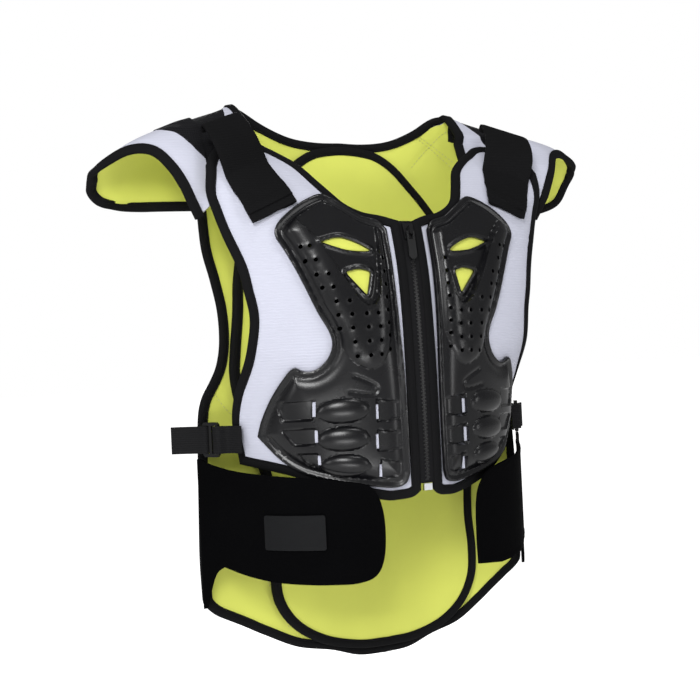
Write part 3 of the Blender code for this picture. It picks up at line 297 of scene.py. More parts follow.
# Belt flaps: where they run round the waist, then their outlines in turn and down. Turn counts
# from the back edge round to the middle of the front.
BELT_PLAN = (
    # turn, across, depth
    (0.0, 0.872, -0.133),
    (5.0, 0.860, -0.170),
    (10.0, 0.838, -0.206),
    (15.0, 0.810, -0.257),
    (30.0, 0.720, -0.444),
    (45.0, 0.590, -0.638),
    (60.0, 0.416, -0.786),
    (75.0, 0.212, -0.885),
)
BELT_TOP = (
    (0.9, -0.638), (6.0, -0.640), (12.0, -0.648), (25.0, -0.659),
    (40.0, -0.666), (52.0, -0.671), (64.0, -0.679),
    (70.0, -0.687),
)
BELT_END_RIGHT = (
    (70.0, -0.687), (73.0, -0.706), (74.6, -0.742), (74.7, -0.790),
    (73.6, -0.826), (71.0, -0.848), (66.0, -0.857),
)
BELT_END_LEFT = (
    (64.0, -0.682), (69.0, -0.704), (71.2, -0.734), (71.8, -0.790), (71.6, -0.850),
)
BELT_FOOT = (
    (60.0, -0.858), (51.0, -0.857), (35.0, -0.851), (17.0, -0.833),
)
BELT_ROOT_FOOT = ((17.0, -0.833), (12.0, -0.848), (8.0, -0.880), (4.5, -0.910), (0.9, -0.914))
PATCH_TURN = (37.0, 57.0)
PATCH_DOWN = (-0.735, -0.796)

# Side fastening between the front and the back panel. Paths of the tab and the webbing are in
# lock lengths from the middle of the ladder lock and in lock walls out of it.
FASTENING_DOWN = -0.602
FASTENING_BACK = 0.840
FASTENING_PLACE = 0.52
FASTENING_BULGE = 0.005
TAB_HOLD = 0.040
TAB_EASE = 0.0045
TAB_PATH = (
    (-0.62, 0.95), (-0.43, 1.10), (-0.25, 0.75), (-0.216, 0.0),
    (-0.25, -0.75), (-0.43, -1.10), (-0.62, -1.00),
    (-0.70, -1.00),
)
WEBBING_PATH = (
    (0.60, -0.95), (0.43, -1.10), (0.25, -0.75), (0.216, 0.0), (0.25, 0.75), (0.43, 1.10), (0.66, 1.40),
    (1.05, 2.30), (1.50, 3.60), (1.90, 5.00),
)


# Curves and tables.

def hermite(keys, values, key):
    """Smooth curve through a table's values, held level past its two ends."""
    keys = np.asarray(keys, float)
    values = np.asarray(values, float)
    key = np.clip(np.asarray(key, float), keys[0], keys[-1])
    count = len(keys)
    i = np.clip(np.searchsorted(keys, key, side="right") - 1, 0, count - 2)
    low = np.maximum(np.arange(count) - 1, 0)
    high = np.minimum(np.arange(count) + 1, count - 1)
    slopes = (values[high] - values[low]) / (keys[high] - keys[low])
    span = keys[i + 1] - keys[i]
    t = (key - keys[i]) / span
    return (
        values[i] * (2 * t ** 3 - 3 * t ** 2 + 1) + slopes[i] * span * (t ** 3 - 2 * t ** 2 + t)
        + values[i + 1] * (3 * t ** 2 - 2 * t ** 3) + slopes[i + 1] * span * (t ** 3 - t ** 2)
    )


def blend(before, start, end, after, t):
    """Place between start and end on a smooth curve through four knots."""
    return 0.5 * (
        2 * start + (end - before) * t + (2 * before - 5 * start + 4 * end - after) * t ** 2
        + (3 * (start - end) + after - before) * t ** 3
    )


def catmull(points, place):
    """Points on a smooth curve through equally spaced knots; points is knots by rows of numbers."""
    points = np.asarray(points, float)
    place = np.asarray(place, float)
    i = np.clip(np.floor(place).astype(int), 0, len(points) - 2)
    t = (place - i)[..., None]
    padded = np.concatenate([[2 * points[0] - points[1]], points, [2 * points[-1] - points[-2]]])
    return blend(padded[i], padded[i + 1], padded[i + 2], padded[i + 3], t)


def smooth_run(points, step):
    """Points at about equal steps on a smooth curve, or on a straight line between two points."""
    knots = np.array(points, float)
    if len(knots) == 2:
        fine = knots
    else:
        count = 12 * (len(knots) - 1)
        fine = catmull(knots, np.arange(count + 1) * (len(knots) - 1) / count)
    lengths = np.concatenate([[0.0], np.cumsum(np.linalg.norm(np.diff(fine, axis=0), axis=1))])
    pieces = max(1, round(lengths[-1] / step))
    target = lengths[-1] * np.arange(pieces + 1) / pieces
    return np.stack([np.interp(target, lengths, fine[:, k]) for k in range(fine.shape[1])], axis=1)


def joined(runs, step):
    """Closed outline of several runs, and which run each of its points belongs to."""
    outline = []
    owners = []
    for k, run in enumerate(runs):
        found = smooth_run(run, step)
        outline.append(found[:-1])
        owners += [k] * (len(found) - 1)
    return np.concatenate(outline), owners


def straight_sided(corners, step):
    """Outline along the straight sides of a polygon."""
    return joined([[p, q] for p, q in zip(corners, np.roll(corners, -1, axis=0))], step)[0]


def rectangle(left, right, start, end):
    return np.array([(left, start), (right, start), (right, end), (left, end)], float)


def across(share):
    if share <= 1.0:
        return share * HALF_SHOULDER
    return HALF_SHOULDER + (share - 1.0) * CAP_OVERHANG


def laid_out(points):
    return [(across(a), b * BACK_LENGTH) for a, b in points]


def mirrored(run):
    return [(-x, y) for x, y in reversed(run)]


def run_order(owners, chosen):
    """Places in an outline that belong to the chosen runs, in order, with one more at the end."""
    count = len(owners)
    picked = [i for i in range(count) if owners[i] in chosen]
    start = next(i for i in picked if owners[i - 1] not in chosen)
    return [(start + k) % count for k in range(len(picked) + 1)]


# Surfaces. Each takes rows of two pattern coordinates and gives rows of places.

def roundness(distance):
    def circle(reach):
        return 1 - np.sqrt(1 - np.minimum(reach / FRONT_ROUND, 0.985) ** 2)

    return circle(distance / HALF_SHOULDER) / circle(FRONT_EDGE)


FRONT_KEYS = [row[0] * BACK_LENGTH for row in reversed(FRONT_ROWS)]
FRONT_VALUES = [[row[k] * DEPTH for row in reversed(FRONT_ROWS)] for k in (1, 2, 3, 4)]


def front_at(uv):
    x, z = uv[:, 0], uv[:, 1]
    centre, edge, ridge_fall, edge_fall = (hermite(FRONT_KEYS, column, z) for column in FRONT_VALUES)
    bend = roundness(np.abs(x))
    fall = ridge_fall * (1 - np.exp(-(x / RIDGE_WIDTH) ** 2)) + edge_fall * bend
    across = x - np.sign(x) * FRONT_DRAW_IN * fall
    return np.stack([across, centre + (edge - centre) * bend + fall, z], axis=1)


def front_depth(x, z):
    place = np.abs(x)
    for _ in range(5):
        place = place + np.abs(x) - front_at(np.stack([place, z], axis=1))[:, 0]
    return front_at(np.stack([place, z], axis=1))[:, 1]


BACK_KEYS = [row[0] * BACK_LENGTH for row in reversed(BACK_ROWS)]


def back_depth(x, z):
    centre = hermite(BACK_KEYS, [row[1] * DEPTH for row in reversed(BACK_ROWS)], z)
    edge = hermite(BACK_KEYS, [row[2] * DEPTH for row in reversed(BACK_ROWS)], z)
    return centre + (edge - centre) * (x / (BACK_EDGE * HALF_SHOULDER)) ** 2


def tail_lean(x, up):
    share = np.clip((0.30 - (up / BACK_LENGTH + 0.60)) / 0.30, 0.0, 1.0)
    middle = np.maximum(1 - (x / TAIL_HALF_WIDTH) ** 2, 0.0)
    return TAIL_LEAN * share * share * (3 - 2 * share) * middle


def back_at(xu, mirror=1):
    """Back and shoulder surface. With mirror -1, x counts on the wearer's right."""
    x, up = xu[:, 0], xu[:, 1]
    spring = SPRING * BACK_LENGTH
    step = ARCH_STEP * BACK_LENGTH
    reach = np.abs(x)
    stations = [across(row[0]) for row in ARCH_ROWS]
    knots = [
        np.stack([back_depth(x, np.full_like(x, spring - step)), np.full_like(x, spring - step)], axis=1),
        np.stack([back_depth(x, np.full_like(x, spring)), np.full_like(x, spring)], axis=1),
    ]
    for k in range(len(ARCH_ROWS[0][1])):
        knots.append(np.stack([
            hermite(stations, [row[1][k][0] * DEPTH for row in ARCH_ROWS], reach),
            hermite(stations, [row[1][k][1] * BACK_LENGTH for row in ARCH_ROWS], reach),
        ], axis=1))
    start = DROOP_START * HALF_SHOULDER
    share = np.maximum(0.0, (reach - start) / (HALF_SHOULDER + CAP_OVERHANG - start)) ** 1.5
    droop = np.where(x * mirror >= 0, CAP_DROOP[1], CAP_DROOP[-1]) * share
    knots[2][:, 1] -= 0.5 * droop
    for knot in knots[3:]:
        knot[:, 1] -= droop
    knots = np.stack(knots)
    place = 1 + (up - spring) / step
    i = np.clip(np.floor(place).astype(int), 0, len(knots) - 2)
    t = (place - i)[:, None]
    full = np.concatenate([[2 * knots[0] - knots[1]], knots, [2 * knots[-1] - knots[-2]]])
    rows = np.arange(len(x))
    found = blend(*(full[i + k, rows] for k in range(4)), t)
    depth, height = found[:, 0], found[:, 1]
    tuck = PANEL_WALL + 2 * TAPE_PROUD + GAP
    behind = front_depth(np.minimum(reach, BACK_EDGE * HALF_SHOULDER), height) + 1.4 * tuck
    ahead = (height < FRONT_ROWS[0][0] * BACK_LENGTH) | (depth < 0)
    depth = np.where(ahead, np.maximum(depth, behind), depth)
    below = up <= spring
    return np.stack([
        np.where(below, x + tail_lean(x, up), x),
        np.where(below, back_depth(x, up), depth),
        np.where(below, up, height),
    ], axis=1)


def wing(side):
    return lambda xu: back_at(xu, side)


def belt_at(tz):
    turns = [row[0] for row in BELT_PLAN]
    x = hermite(turns, [row[1] * HALF_SHOULDER for row in BELT_PLAN], tz[:, 0] / TURN_METRE)
    y = hermite(turns, [row[2] * DEPTH for row in BELT_PLAN], tz[:, 0] / TURN_METRE)
    return np.stack([x, y, tz[:, 1]], axis=1)


def frames(surface, points, delta=0.0004):
    """Places and unit normals on a surface."""
    points = np.asarray(points, float)
    du = surface(points + [delta, 0]) - surface(points - [delta, 0])
    dv = surface(points + [0, delta]) - surface(points - [0, delta])
    normal = np.cross(du, dv)
    normal /= np.maximum(np.linalg.norm(normal, axis=1), 1e-12)[:, None]
    return surface(points), normal


# Pattern work.

def inside(points, polygon):
    """Which points lie inside a polygon."""
    points = np.asarray(points, float)
    polygon = np.asarray(polygon, float)
    hit = np.zeros(len(points), bool)
    for (ax, ay), (bx, by) in zip(polygon, np.roll(polygon, -1, axis=0)):
        if ay == by:
            continue
        crosses = (ay > points[:, 1]) != (by > points[:, 1])
        hit ^= crosses & (points[:, 0] < ax + (points[:, 1] - ay) * (bx - ax) / (by - ay))
    return hit


def path_distance(points, path, closed=True):
    """Distance from points to a path."""
    points = np.asarray(points, float)
    path = np.asarray(path, float)
    ends = np.roll(path, -1, axis=0) if closed else path[1:]
    starts = path if closed else path[:-1]
    nearest = np.full(len(points), 1e9)
    for a, b in zip(starts, ends):
        run = b - a
        t = np.clip(((points - a) @ run) / max(run @ run, 1e-12), 0, 1)
        nearest = np.minimum(nearest, np.linalg.norm(points - a - t[:, None] * run, axis=1))
    return nearest


def depth_inside(points, polygon):
    """Distance to a polygon's edge, positive inside it."""
    return np.where(inside(points, polygon), 1.0, -1.0) * path_distance(points, polygon)


def ease(value):
    value = np.clip(value, 0.0, 1.0)
    return value * value * (3 - 2 * value)


def between(points, low, high):
    return (points >= low).all(axis=1) & (points <= high).all(axis=1)


# Height of a row of equal-sided triangles in their side length.
ROW_SHARE = 0.866


def fill(outline, holes, spacing):
    """Triangles that fill an outline around its holes."""
    low, high = outline.min(axis=0), outline.max(axis=0)
    rows = int((high[1] - low[1]) / (spacing * ROW_SHARE)) + 1
    grid = np.array([
        (low[0] + (column + 0.5 * (row % 2)) * spacing, low[1] + row * spacing * ROW_SHARE)
        for row in range(rows) for column in range(int((high[0] - low[0]) / spacing) + 1)
    ])
    keep = inside(grid, outline) & (path_distance(grid, outline) > 0.55 * spacing)
    grid = grid[keep]
    for hole in holes:
        spots = np.where(between(grid, hole.min(axis=0) - spacing, hole.max(axis=0) + spacing))[0]
        bad = inside(grid[spots], hole) | (path_distance(grid[spots], hole) < 0.5 * spacing)
        grid = np.delete(grid, spots[bad], axis=0)
    corners = [outline]
    edges = [(i, (i + 1) % len(outline)) for i in range(len(outline))]
    first = len(outline)
    for hole in holes:
        corners.append(hole)
        edges += [(first + i, first + (i + 1) % len(hole)) for i in range(len(hole))]
        first += len(hole)
    corners.append(grid)
    points = [Vector(p) for p in np.concatenate(corners)]
    found, _, faces, *_ = delaunay_2d_cdt(points, edges, [], 0, 1e-7)
    found = np.array([tuple(p) for p in found])
    faces = np.array([tuple(f) for f in faces])
    middle = found[faces].mean(axis=1)
    keep = inside(middle, outline)
    for hole in holes:
        spots = np.where(keep & between(middle, hole.min(axis=0), hole.max(axis=0)))[0]
        keep[spots[inside(middle[spots], hole)]] = False
    return found, faces[keep]


def add_mesh(name, vertices, faces, materials, indices, nodes, side=1, angle=38):
    """A piece of the vest that stands for the nodes named; side -1 mirrors it."""
    vertices = np.array(vertices, float)
    vertices[:, 0] *= side
    mesh = bpy.data.meshes.new(name)
    mesh.from_pydata(vertices.tolist(), [], [tuple(int(i) for i in f) for f in faces])
    for made in materials:
        mesh.materials.append(made)
    mesh.polygons.foreach_set("material_index", np.asarray(indices, dtype=np.int32))
    tidy = bmesh.new()
    tidy.from_mesh(mesh)
    bmesh.ops.recalc_face_normals(tidy, faces=tidy.faces)
    tidy.to_mesh(mesh)
    tidy.free()
    mesh.shade_smooth()
    mesh.set_sharp_from_angle(angle=math.radians(angle))
    made = bpy.data.objects.new(name, mesh)
    bpy.context.scene.collection.objects.link(made)
    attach(made, "vest")
    if nodes:
        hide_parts(*nodes)
    return made


def offset_at(offset, points):
    """An offset at each point, from a function or from one number."""
    return offset(points) if callable(offset) else np.full(len(points), offset)


def shell(outline, surface, low, high, spacing, holes=(), shift=None):
    """Corners and faces of a closed panel between two offsets, the faces of its high side first."""
    points, faces = fill(outline, holes, spacing)
    place, normal = frames(surface, points)
    if shift is not None:
        place = place + normal * shift(points)[:, None]
    top = place + normal * offset_at(high, points)[:, None]
    foot = place + normal * offset_at(low, points)[:, None]
    count = len(points)
    directed = {(int(f[k]), int(f[(k + 1) % 3])) for f in faces for k in range(3)}
    walls = [(b, a, a + count, b + count) for a, b in directed if (b, a) not in directed]
    solid = [tuple(f) for f in faces] + [tuple(f[::-1] + count) for f in faces] + walls
    return np.concatenate([top, foot]), solid, points[faces].mean(axis=1)


def slab(name, outline, surface, low, high, spacing, materials, nodes, slot, side=1, holes=(), zones=None,
         shift=None):
    """Closed panel between two offsets; zones gives the material index of each face on the high side."""
    vertices, solid, middles = shell(outline, surface, low, high, spacing, holes, shift)
    upper = zones(middles) if zones else np.zeros(len(middles), int)
    lower = len(materials) - 1
    indices = list(upper) + [lower] * (len(solid) - len(middles))
    return add_mesh(name, vertices, solid, materials, indices, nodes, side)


def islands(name, parts, material, side=1):
    """Several closed panels as one piece; parts are corners and faces."""
    vertices = []
    faces = []
    first = 0
    for corners, found in parts:
        vertices.append(corners)
        faces += [tuple(i + first for i in f) for f in found]
        first += len(corners)
    return add_mesh(name, np.concatenate(vertices), faces, [material], [0] * len(faces), [], side)


# Rings of a stitch: how far along it and how thick in its radius, then corners of a ring.
STITCH_RINGS = ((0.0, 0.35), (0.18, 0.9), (0.5, 1.0), (0.82, 0.9), (1.0, 0.35))
STITCH_CORNERS = 6
# Pitch, length and radius of the stitches.
PLATE_STITCH = (0.0025, 0.0017, 0.00032)
LINING_STITCH = (0.0042, 0.0028, 0.00035)


def stitch_ends(path, surface, pitch, length):
    """Pattern places of both ends of each stitch along an open path."""
    place, _ = frames(surface, path)
    reach = np.concatenate([[0.0], np.cumsum(np.linalg.norm(np.diff(place, axis=0), axis=1))])
    count = int(reach[-1] / pitch)
    marks = (np.arange(count) + 0.5) * reach[-1] / count
    return [
        np.stack([np.interp(marks + sign * length / 2, reach, path[:, k]) for k in (0, 1)], axis=1)
        for sign in (-1, 1)
    ]


def stitches(name, path, surface, height, size, material, side=1, within=None):
    """A row of short threads along an open path on a surface, only where it lies within a polygon."""
    pitch, length, radius = size
    ends = stitch_ends(path, surface, pitch, length)
    if within is not None:
        clear = np.minimum(depth_inside(ends[0], within), depth_inside(ends[1], within)) > LEAST_STEP
        ends = [end[clear] for end in ends]
    starts, normal = frames(surface, ends[0])
    stops, _ = frames(surface, ends[1])
    starts = starts + normal * offset_at(height, ends[0])[:, None]
    stops = stops + normal * offset_at(height, ends[1])[:, None]
    along = stops - starts
    along /= np.linalg.norm(along, axis=1)[:, None]
    beside = np.cross(normal, along)
    corners = STITCH_CORNERS
    turns = [2 * math.pi * turn / corners for turn in range(corners)]
    last = (len(STITCH_RINGS) - 1) * corners
    vertices = []
    faces = []
    for k in range(len(starts)):
        first = len(vertices)
        for share, thick in STITCH_RINGS:
            middle = starts[k] + (stops[k] - starts[k]) * share
            for angle in turns:
                out = normal[k] * math.sin(angle) + beside[k] * math.cos(angle)
                vertices.append(middle + out * radius * thick)
        for ring in range(first, first + last, corners):
            for turn in range(corners):
                a = ring + turn
                b = ring + (turn + 1) % corners
                faces.append((a, b, b + corners, a + corners))
        faces.append(tuple(range(first, first + corners))[::-1])
        faces.append(tuple(range(first + last, first + last + corners)))
    return add_mesh(name, vertices, faces, [material], [0] * len(faces), [], side)


def binding(name, path, surface, profile, material, nodes, side=1, closed=True, base=0.0):
    """Edge binding: a profile of inward and outward distances swept along a path on a surface."""
    place, normal = frames(surface, path)
    count = len(path)
    segments = np.roll(place, -1, axis=0) - place
    if not closed:
        segments[-1] = segments[-2]
    lefts = np.cross(normal, segments)
    lefts /= np.linalg.norm(lefts, axis=1)[:, None]
    before = np.roll(lefts, 1, axis=0)
    if not closed:
        before[0] = lefts[0]
    mitre = (lefts + before) / np.maximum(1 + (lefts * before).sum(axis=1), 0.8)[:, None]
    rings = [place + mitre * w + normal * (n + base) for w, n in profile]
    size = len(profile)
    vertices = np.stack(rings, axis=1).reshape(-1, 3)
    faces = []
    for i in range(count if closed else count - 1):
        j = (i + 1) % count
        for k in range(size):
            m = (k + 1) % size
            faces.append((i * size + k, j * size + k, j * size + m, i * size + m))
    if not closed:
        faces.append(tuple(range(size)))
        faces.append(tuple(range((count - 1) * size, count * size))[::-1])
    return add_mesh(name, vertices, faces, [material], [0] * len(faces), nodes, side, angle=50)


def folded(width, half, lower=None):
    """Profile of a binding folded round an edge and sewn down near its inner edge."""
    foot = -half if lower is None else lower
    return [
        (width, half - 0.0007), (width - 0.0005, half), (width - 0.0014, half),
        (width - 0.0019, half - 0.0003), (width - 0.0024, half + 0.0001),
        (width * 0.5, half + 0.0002), (0.0018, half - 0.0001),
        (0.0005, half - 0.0010), (0.0, 0.5 * (half + foot)), (0.0005, foot + 0.0010), (0.0018, foot),
        (width * 0.5, foot), (width - 0.0005, foot), (width, foot + 0.0007),
    ]


# Materials. Every finish is a node tree on the object's own coordinates.


def node(tree, kind, values=None, links=None):
    """A shader node with the values of its inputs and what feeds them."""
    made = tree.nodes.new("ShaderNode" + kind)
    for key, value in (values or {}).items():
        made.inputs[key].default_value = value
    for key, source in (links or {}).items():
        tree.links.new(source, made.inputs[key])
    return made


def woven(tree, where, tone, height, direction, pitch, dark):
    """Bands of a weave or knit, laid over a tone and a height."""
    values = {"Scale": BAND_SCALE / pitch, "Distortion": 1.2, "Detail": 1.5, "Detail Scale": 1.0}
    bands = node(tree, "TexWave", values, {"Vector": where})
    bands.wave_type = "BANDS"
    bands.bands_direction = direction
    add = node(tree, "Math", links={0: height, 1: bands.outputs["Fac"]})
    mix = tree.nodes.new("ShaderNodeMix")
    mix.data_type = "RGBA"
    mix.blend_type = "MULTIPLY"
    mix.inputs["Factor"].default_value = dark
    tree.links.new(tone, mix.inputs[6])
    tree.links.new(bands.outputs["Fac"], mix.inputs[7])
    return mix.outputs[2], add.outputs[0]


# Bands in a metre at a scale of one, scale of the broad blotches and spread of the roughness.
BAND_SCALE = 0.314
BLOTCH_SCALE = 14.0
ROUGHNESS_SPREAD = 0.06


def finish(name, colour, roughness, specular, scale, bump, depth, variation, weave=(), metallic=0.0,
           sheen=0.0):
    """A finish with blotches of tone, a fine grain and, for cloth, the bands of its weave."""
    made = bpy.data.materials.new(name)
    made.use_nodes = True
    made.diffuse_color = (*colour, 1)
    tree = made.node_tree
    shader = tree.nodes["Principled BSDF"]
    for key, value in (("Specular IOR Level", specular), ("Metallic", metallic), ("Sheen Weight", sheen)):
        shader.inputs[key].default_value = value
    where = tree.nodes.new("ShaderNodeTexCoord").outputs["Object"]
    broad = node(tree, "TexNoise", {"Scale": BLOTCH_SCALE, "Detail": 4.0}, {"Vector": where}).outputs["Fac"]
    height = node(tree, "TexNoise", {"Scale": scale, "Detail": 2.0}, {"Vector": where}).outputs["Fac"]
    ramp = node(tree, "ValToRGB", links={"Fac": broad})
    for element, place, sign in zip(ramp.color_ramp.elements, (0.3, 0.7), (-1, 1)):
        element.position = place
        element.color = (*[min(c * (1 + sign * variation), 1) for c in colour], 1)
    tone = ramp.outputs["Color"]
    for direction, pitch, dark in weave:
        tone, height = woven(tree, where, tone, height, direction, pitch, dark)
    rough = node(
        tree, "MapRange",
        {"To Min": roughness - ROUGHNESS_SPREAD, "To Max": min(roughness + ROUGHNESS_SPREAD, 1.0)},
        {"Value": broad},
    )
    relief = node(tree, "Bump", {"Strength": bump, "Distance": depth}, {"Height": height})
    tree.links.new(tone, shader.inputs["Base Color"])
    tree.links.new(rough.outputs["Result"], shader.inputs["Roughness"])
    tree.links.new(relief.outputs["Normal"], shader.inputs["Normal"])
    return made


# Name, colour, roughness, specular, grain scale, grain strength, grain depth and spread of tone, then
# the weave as direction, pitch and how dark its bands are.
WHITE = finish(
    "white_knit", (0.52, 0.53, 0.62), 0.85, 0.15, 900, 0.30, 0.0004, 0.02, [("Z", 0.0026, 0.03)], sheen=0.1,
)
LIME_THREAD = finish("lime_thread", (0.52, 0.53, 0.22), 0.8, 0.2, 1500, 0.3, 0.0002, 0.05)
LIME = finish("lime_cloth", (0.64, 0.68, 0.125), 0.9, 0.1, 1400, 0.25, 0.0003, 0.035, sheen=0.1)
TAPE = finish("black_binding", (0.0050, 0.0050, 0.0056), 0.85, 0.10, 1600, 0.5, 0.0004, 0.15)
MESH = finish(
    "black_mesh", (0.010, 0.010, 0.012), 0.85, 0.12, 900, 0.5, 0.0004, 0.15,
    [("X", 0.0022, 0.3), ("Z", 0.0022, 0.3)],
)
PLATE = finish("moulded_plate", (0.0035, 0.0035, 0.0044), 0.27, 0.40, 1500, 0.05, 0.0003, 0.12)
THREAD = finish("black_thread", (0.02, 0.02, 0.022), 0.7, 0.3, 1500, 0.3, 0.0002, 0.1)
ZIP_CLOTH = finish(
    "zip_cloth", (0.006, 0.006, 0.007), 0.8, 0.15, 1200, 0.4, 0.0003, 0.12, [("Z", 0.0012, 0.3)],
)
ELASTIC = finish(
    "black_elastic", (0.0060, 0.0060, 0.0066), 0.85, 0.08, 1200, 0.4, 0.0004, 0.12, [("Z", 0.0016, 0.35)],
)
BELT = finish("belt_elastic", (0.0018, 0.0018, 0.0021), 0.9, 0.02, 1400, 0.4, 0.0004, 0.15)
WEBBING = finish(
    "black_webbing", (0.008, 0.008, 0.009), 0.8, 0.15, 1200, 0.4, 0.0004, 0.12, [("Z", 0.002, 0.4)],
)
PLASTIC = finish("black_plastic", (0.0045, 0.0045, 0.005), 0.32, 0.35, 1500, 0.06, 0.0002, 0.1)
PATCH = finish("grey_patch", (0.0065, 0.0068, 0.0076), 0.6, 0.10, 1300, 0.2, 0.0003, 0.08)
# Matte black painted shade for the panel under the plate, so that the plate's round holes read dark.
HOLE_SHADE = finish("painted_hole_shade", (0.003, 0.003, 0.003), 0.95, 0.02, 900, 0.2, 0.0003, 0.1)
METAL = finish("zip_metal", (0.62, 0.63, 0.66), 0.28, 0.5, 900, 0.05, 0.0002, 0.04, metallic=1.0)


# Camera, light and floor.

CAMERA_PLACE = (-0.4640, -1.0056, -0.2250)
CAMERA_TOWARD = (0.4158, 0.9094, 0.0)
CAMERA_RIGHT = (0.9094, -0.4158, 0.0)
CAMERA_ROLL = math.radians(-2.71)
# The focal length and the picture's width, both in pixels of the photograph.
FOCAL_LENGTH = 1100
PICTURE_WIDTH = 700
SENSOR_WIDTH = 36.0
ROOM_LIGHT = 0.26
LIT_PLACE = Vector((0, -0.05, -0.25))
# Name, place, width, height and power in watts.
LIGHTS = (
    ("key", (-1.15, -1.60, 0.70), 0.7, 0.7, 28.0),
    ("overhead", (0.25, -0.90, 1.70), 0.7, 0.4, 8.0),
    ("left_box", (-2.1, -0.7, 0.2), 0.4, 1.2, 7.0),
    ("right_box", (0.80, -1.57, -0.05), 0.30, 0.80, 3.6),
    ("low_box", (-0.70, -1.60, -0.85), 0.8, 0.3, 6.0),
    ("back_box", (0.9, 1.9, 0.8), 0.8, 0.8, 45.0),
)
FLOOR_DOWN = -1.1
FLOOR_REACH = 30.0
# From what distance the floor starts to glow, and where it is as bright as the background.
GLOW_START = 1.1
GLOW_END = 2.6


def make_camera(scene):
    data = bpy.data.cameras.new("camera")
    data.sensor_width = SENSOR_WIDTH
    data.lens = SENSOR_WIDTH * FOCAL_LENGTH / PICTURE_WIDTH
    data.clip_start = 0.05
    camera = bpy.data.objects.new("camera", data)
    scene.collection.objects.link(camera)
    toward = Vector(CAMERA_TOWARD).normalized()
    right = Vector(CAMERA_RIGHT).normalized()
    up = Vector((0.0, 0.0, 1.0))
    side = right * math.cos(CAMERA_ROLL) + up * math.sin(CAMERA_ROLL)
    top = up * math.cos(CAMERA_ROLL) - right * math.sin(CAMERA_ROLL)
    turned = Matrix((side, top, -toward)).transposed().to_4x4()
    turned.translation = Vector(CAMERA_PLACE)
    camera.matrix_world = turned
    scene.camera = camera


def make_lights(scene):
    """Soft boxes in a room that is white where the camera sees it and dimmer as a light."""
    world = bpy.data.worlds.new("studio")
    world.use_nodes = True
    tree = world.node_tree
    seen = tree.nodes["Background"]
    seen.inputs["Color"].default_value = (1, 1, 1, 1)
    seen.inputs["Strength"].default_value = 1.0
    room = node(tree, "Background", {"Color": (1, 1, 1, 1), "Strength": ROOM_LIGHT})
    ray = tree.nodes.new("ShaderNodeLightPath")
    either = node(tree, "MixShader", links={
        0: ray.outputs["Is Camera Ray"], 1: room.outputs["Background"], 2: seen.outputs["Background"],
    })
    tree.links.new(either.outputs["Shader"], tree.nodes["World Output"].inputs["Surface"])
    scene.world = world
    for name, place, width, height, power in LIGHTS:
        light = bpy.data.lights.new(name, "AREA")
        light.shape = "RECTANGLE"
        light.size = width
        light.size_y = height
        light.energy = power
        lamp = bpy.data.objects.new(name, light)
        scene.collection.objects.link(lamp)
        lamp.location = place
        lamp.rotation_mode = "QUATERNION"
        lamp.rotation_quaternion = (LIT_PLACE - lamp.location).to_track_quat("-Z", "Y")


def make_floor(scene):
    """Pale floor that fades into the white background, and is as dim as the room in what it lights."""
    mesh = bpy.data.meshes.new("floor")
    corners = [(x, y, FLOOR_DOWN) for x, y in rectangle(-FLOOR_REACH, FLOOR_REACH, -FLOOR_REACH, FLOOR_REACH)]
    mesh.from_pydata(corners, [], [(0, 1, 2, 3)])
    floor = bpy.data.objects.new("floor", mesh)
    scene.collection.objects.link(floor)
    pale = bpy.data.materials.new("pale_floor")
    pale.use_nodes = True
    tree = pale.node_tree
    where = tree.nodes.new("ShaderNodeTexCoord")
    reach = tree.nodes.new("ShaderNodeVectorMath")
    reach.operation = "LENGTH"
    tree.links.new(where.outputs["Object"], reach.inputs[0])
    glow = node(
        tree, "MapRange", {"From Min": GLOW_START, "From Max": GLOW_END, "To Min": 0.0, "To Max": 1.0},
        {"Value": reach.outputs["Value"]},
    )
    glow.interpolation_type = "SMOOTHSTEP"
    ray = tree.nodes.new("ShaderNodeLightPath")
    seen = node(tree, "Math", {1: 1 - ROOM_LIGHT, 2: ROOM_LIGHT}, {0: ray.outputs["Is Camera Ray"]})
    seen.operation = "MULTIPLY_ADD"
    strength = node(tree, "Math", links={0: glow.outputs["Result"], 1: seen.outputs["Value"]})
    strength.operation = "MULTIPLY"
    shader = tree.nodes["Principled BSDF"]
    for key, value in (
        ("Base Color", (0.9, 0.9, 0.9, 1)), ("Roughness", 1.0), ("Specular IOR Level", 0.0),
        ("Emission Color", (1, 1, 1, 1)),
    ):
        shader.inputs[key].default_value = value
    tree.links.new(strength.outputs["Value"], shader.inputs["Emission Strength"])
    mesh.materials.append(pale)


def make_stage():
    scene = bpy.context.scene
    make_camera(scene)
    make_lights(scene)
    make_floor(scene)
    scene.view_settings.view_transform = "Standard"


# Pieces.

HALF = PANEL_WALL / 2
REACH = HALF + TAPE_PROUD
MM = 0.001
# How far a panel runs in under its binding, and how a panel thins toward its sewn edge.
TAPE_OVERLAP = 0.0012
PAD_OVERLAP = 0.001
EDGE_ROLL = 0.012
CAP_EDGE_ROLL = 0.010
EDGE_HALF = 0.0016


def soft_edge(outline, width):
    """Wall offset that falls from half the wall to a thinner one at the sewn edge."""
    def offset(points):
        return EDGE_HALF + (HALF - EDGE_HALF) * ease(path_distance(points, outline) / width)

    return offset


# Small step by which shrink finds how lengths in the pattern grow on the surface.
SHRINK_TRY = 0.0005


def shrink(outline, surface, width):
    """Outline moved inward by a true width on its surface."""
    place = surface(outline)
    ahead = np.roll(outline, -1, axis=0) - np.roll(outline, 1, axis=0)
    left = np.stack([-ahead[:, 1], ahead[:, 0]], axis=1)
    left /= np.linalg.norm(left, axis=1)[:, None]
    grown = np.linalg.norm(surface(outline + left * SHRINK_TRY) - place, axis=1) / SHRINK_TRY
    return outline + left * (width / np.maximum(grown, 0.3))[:, None]


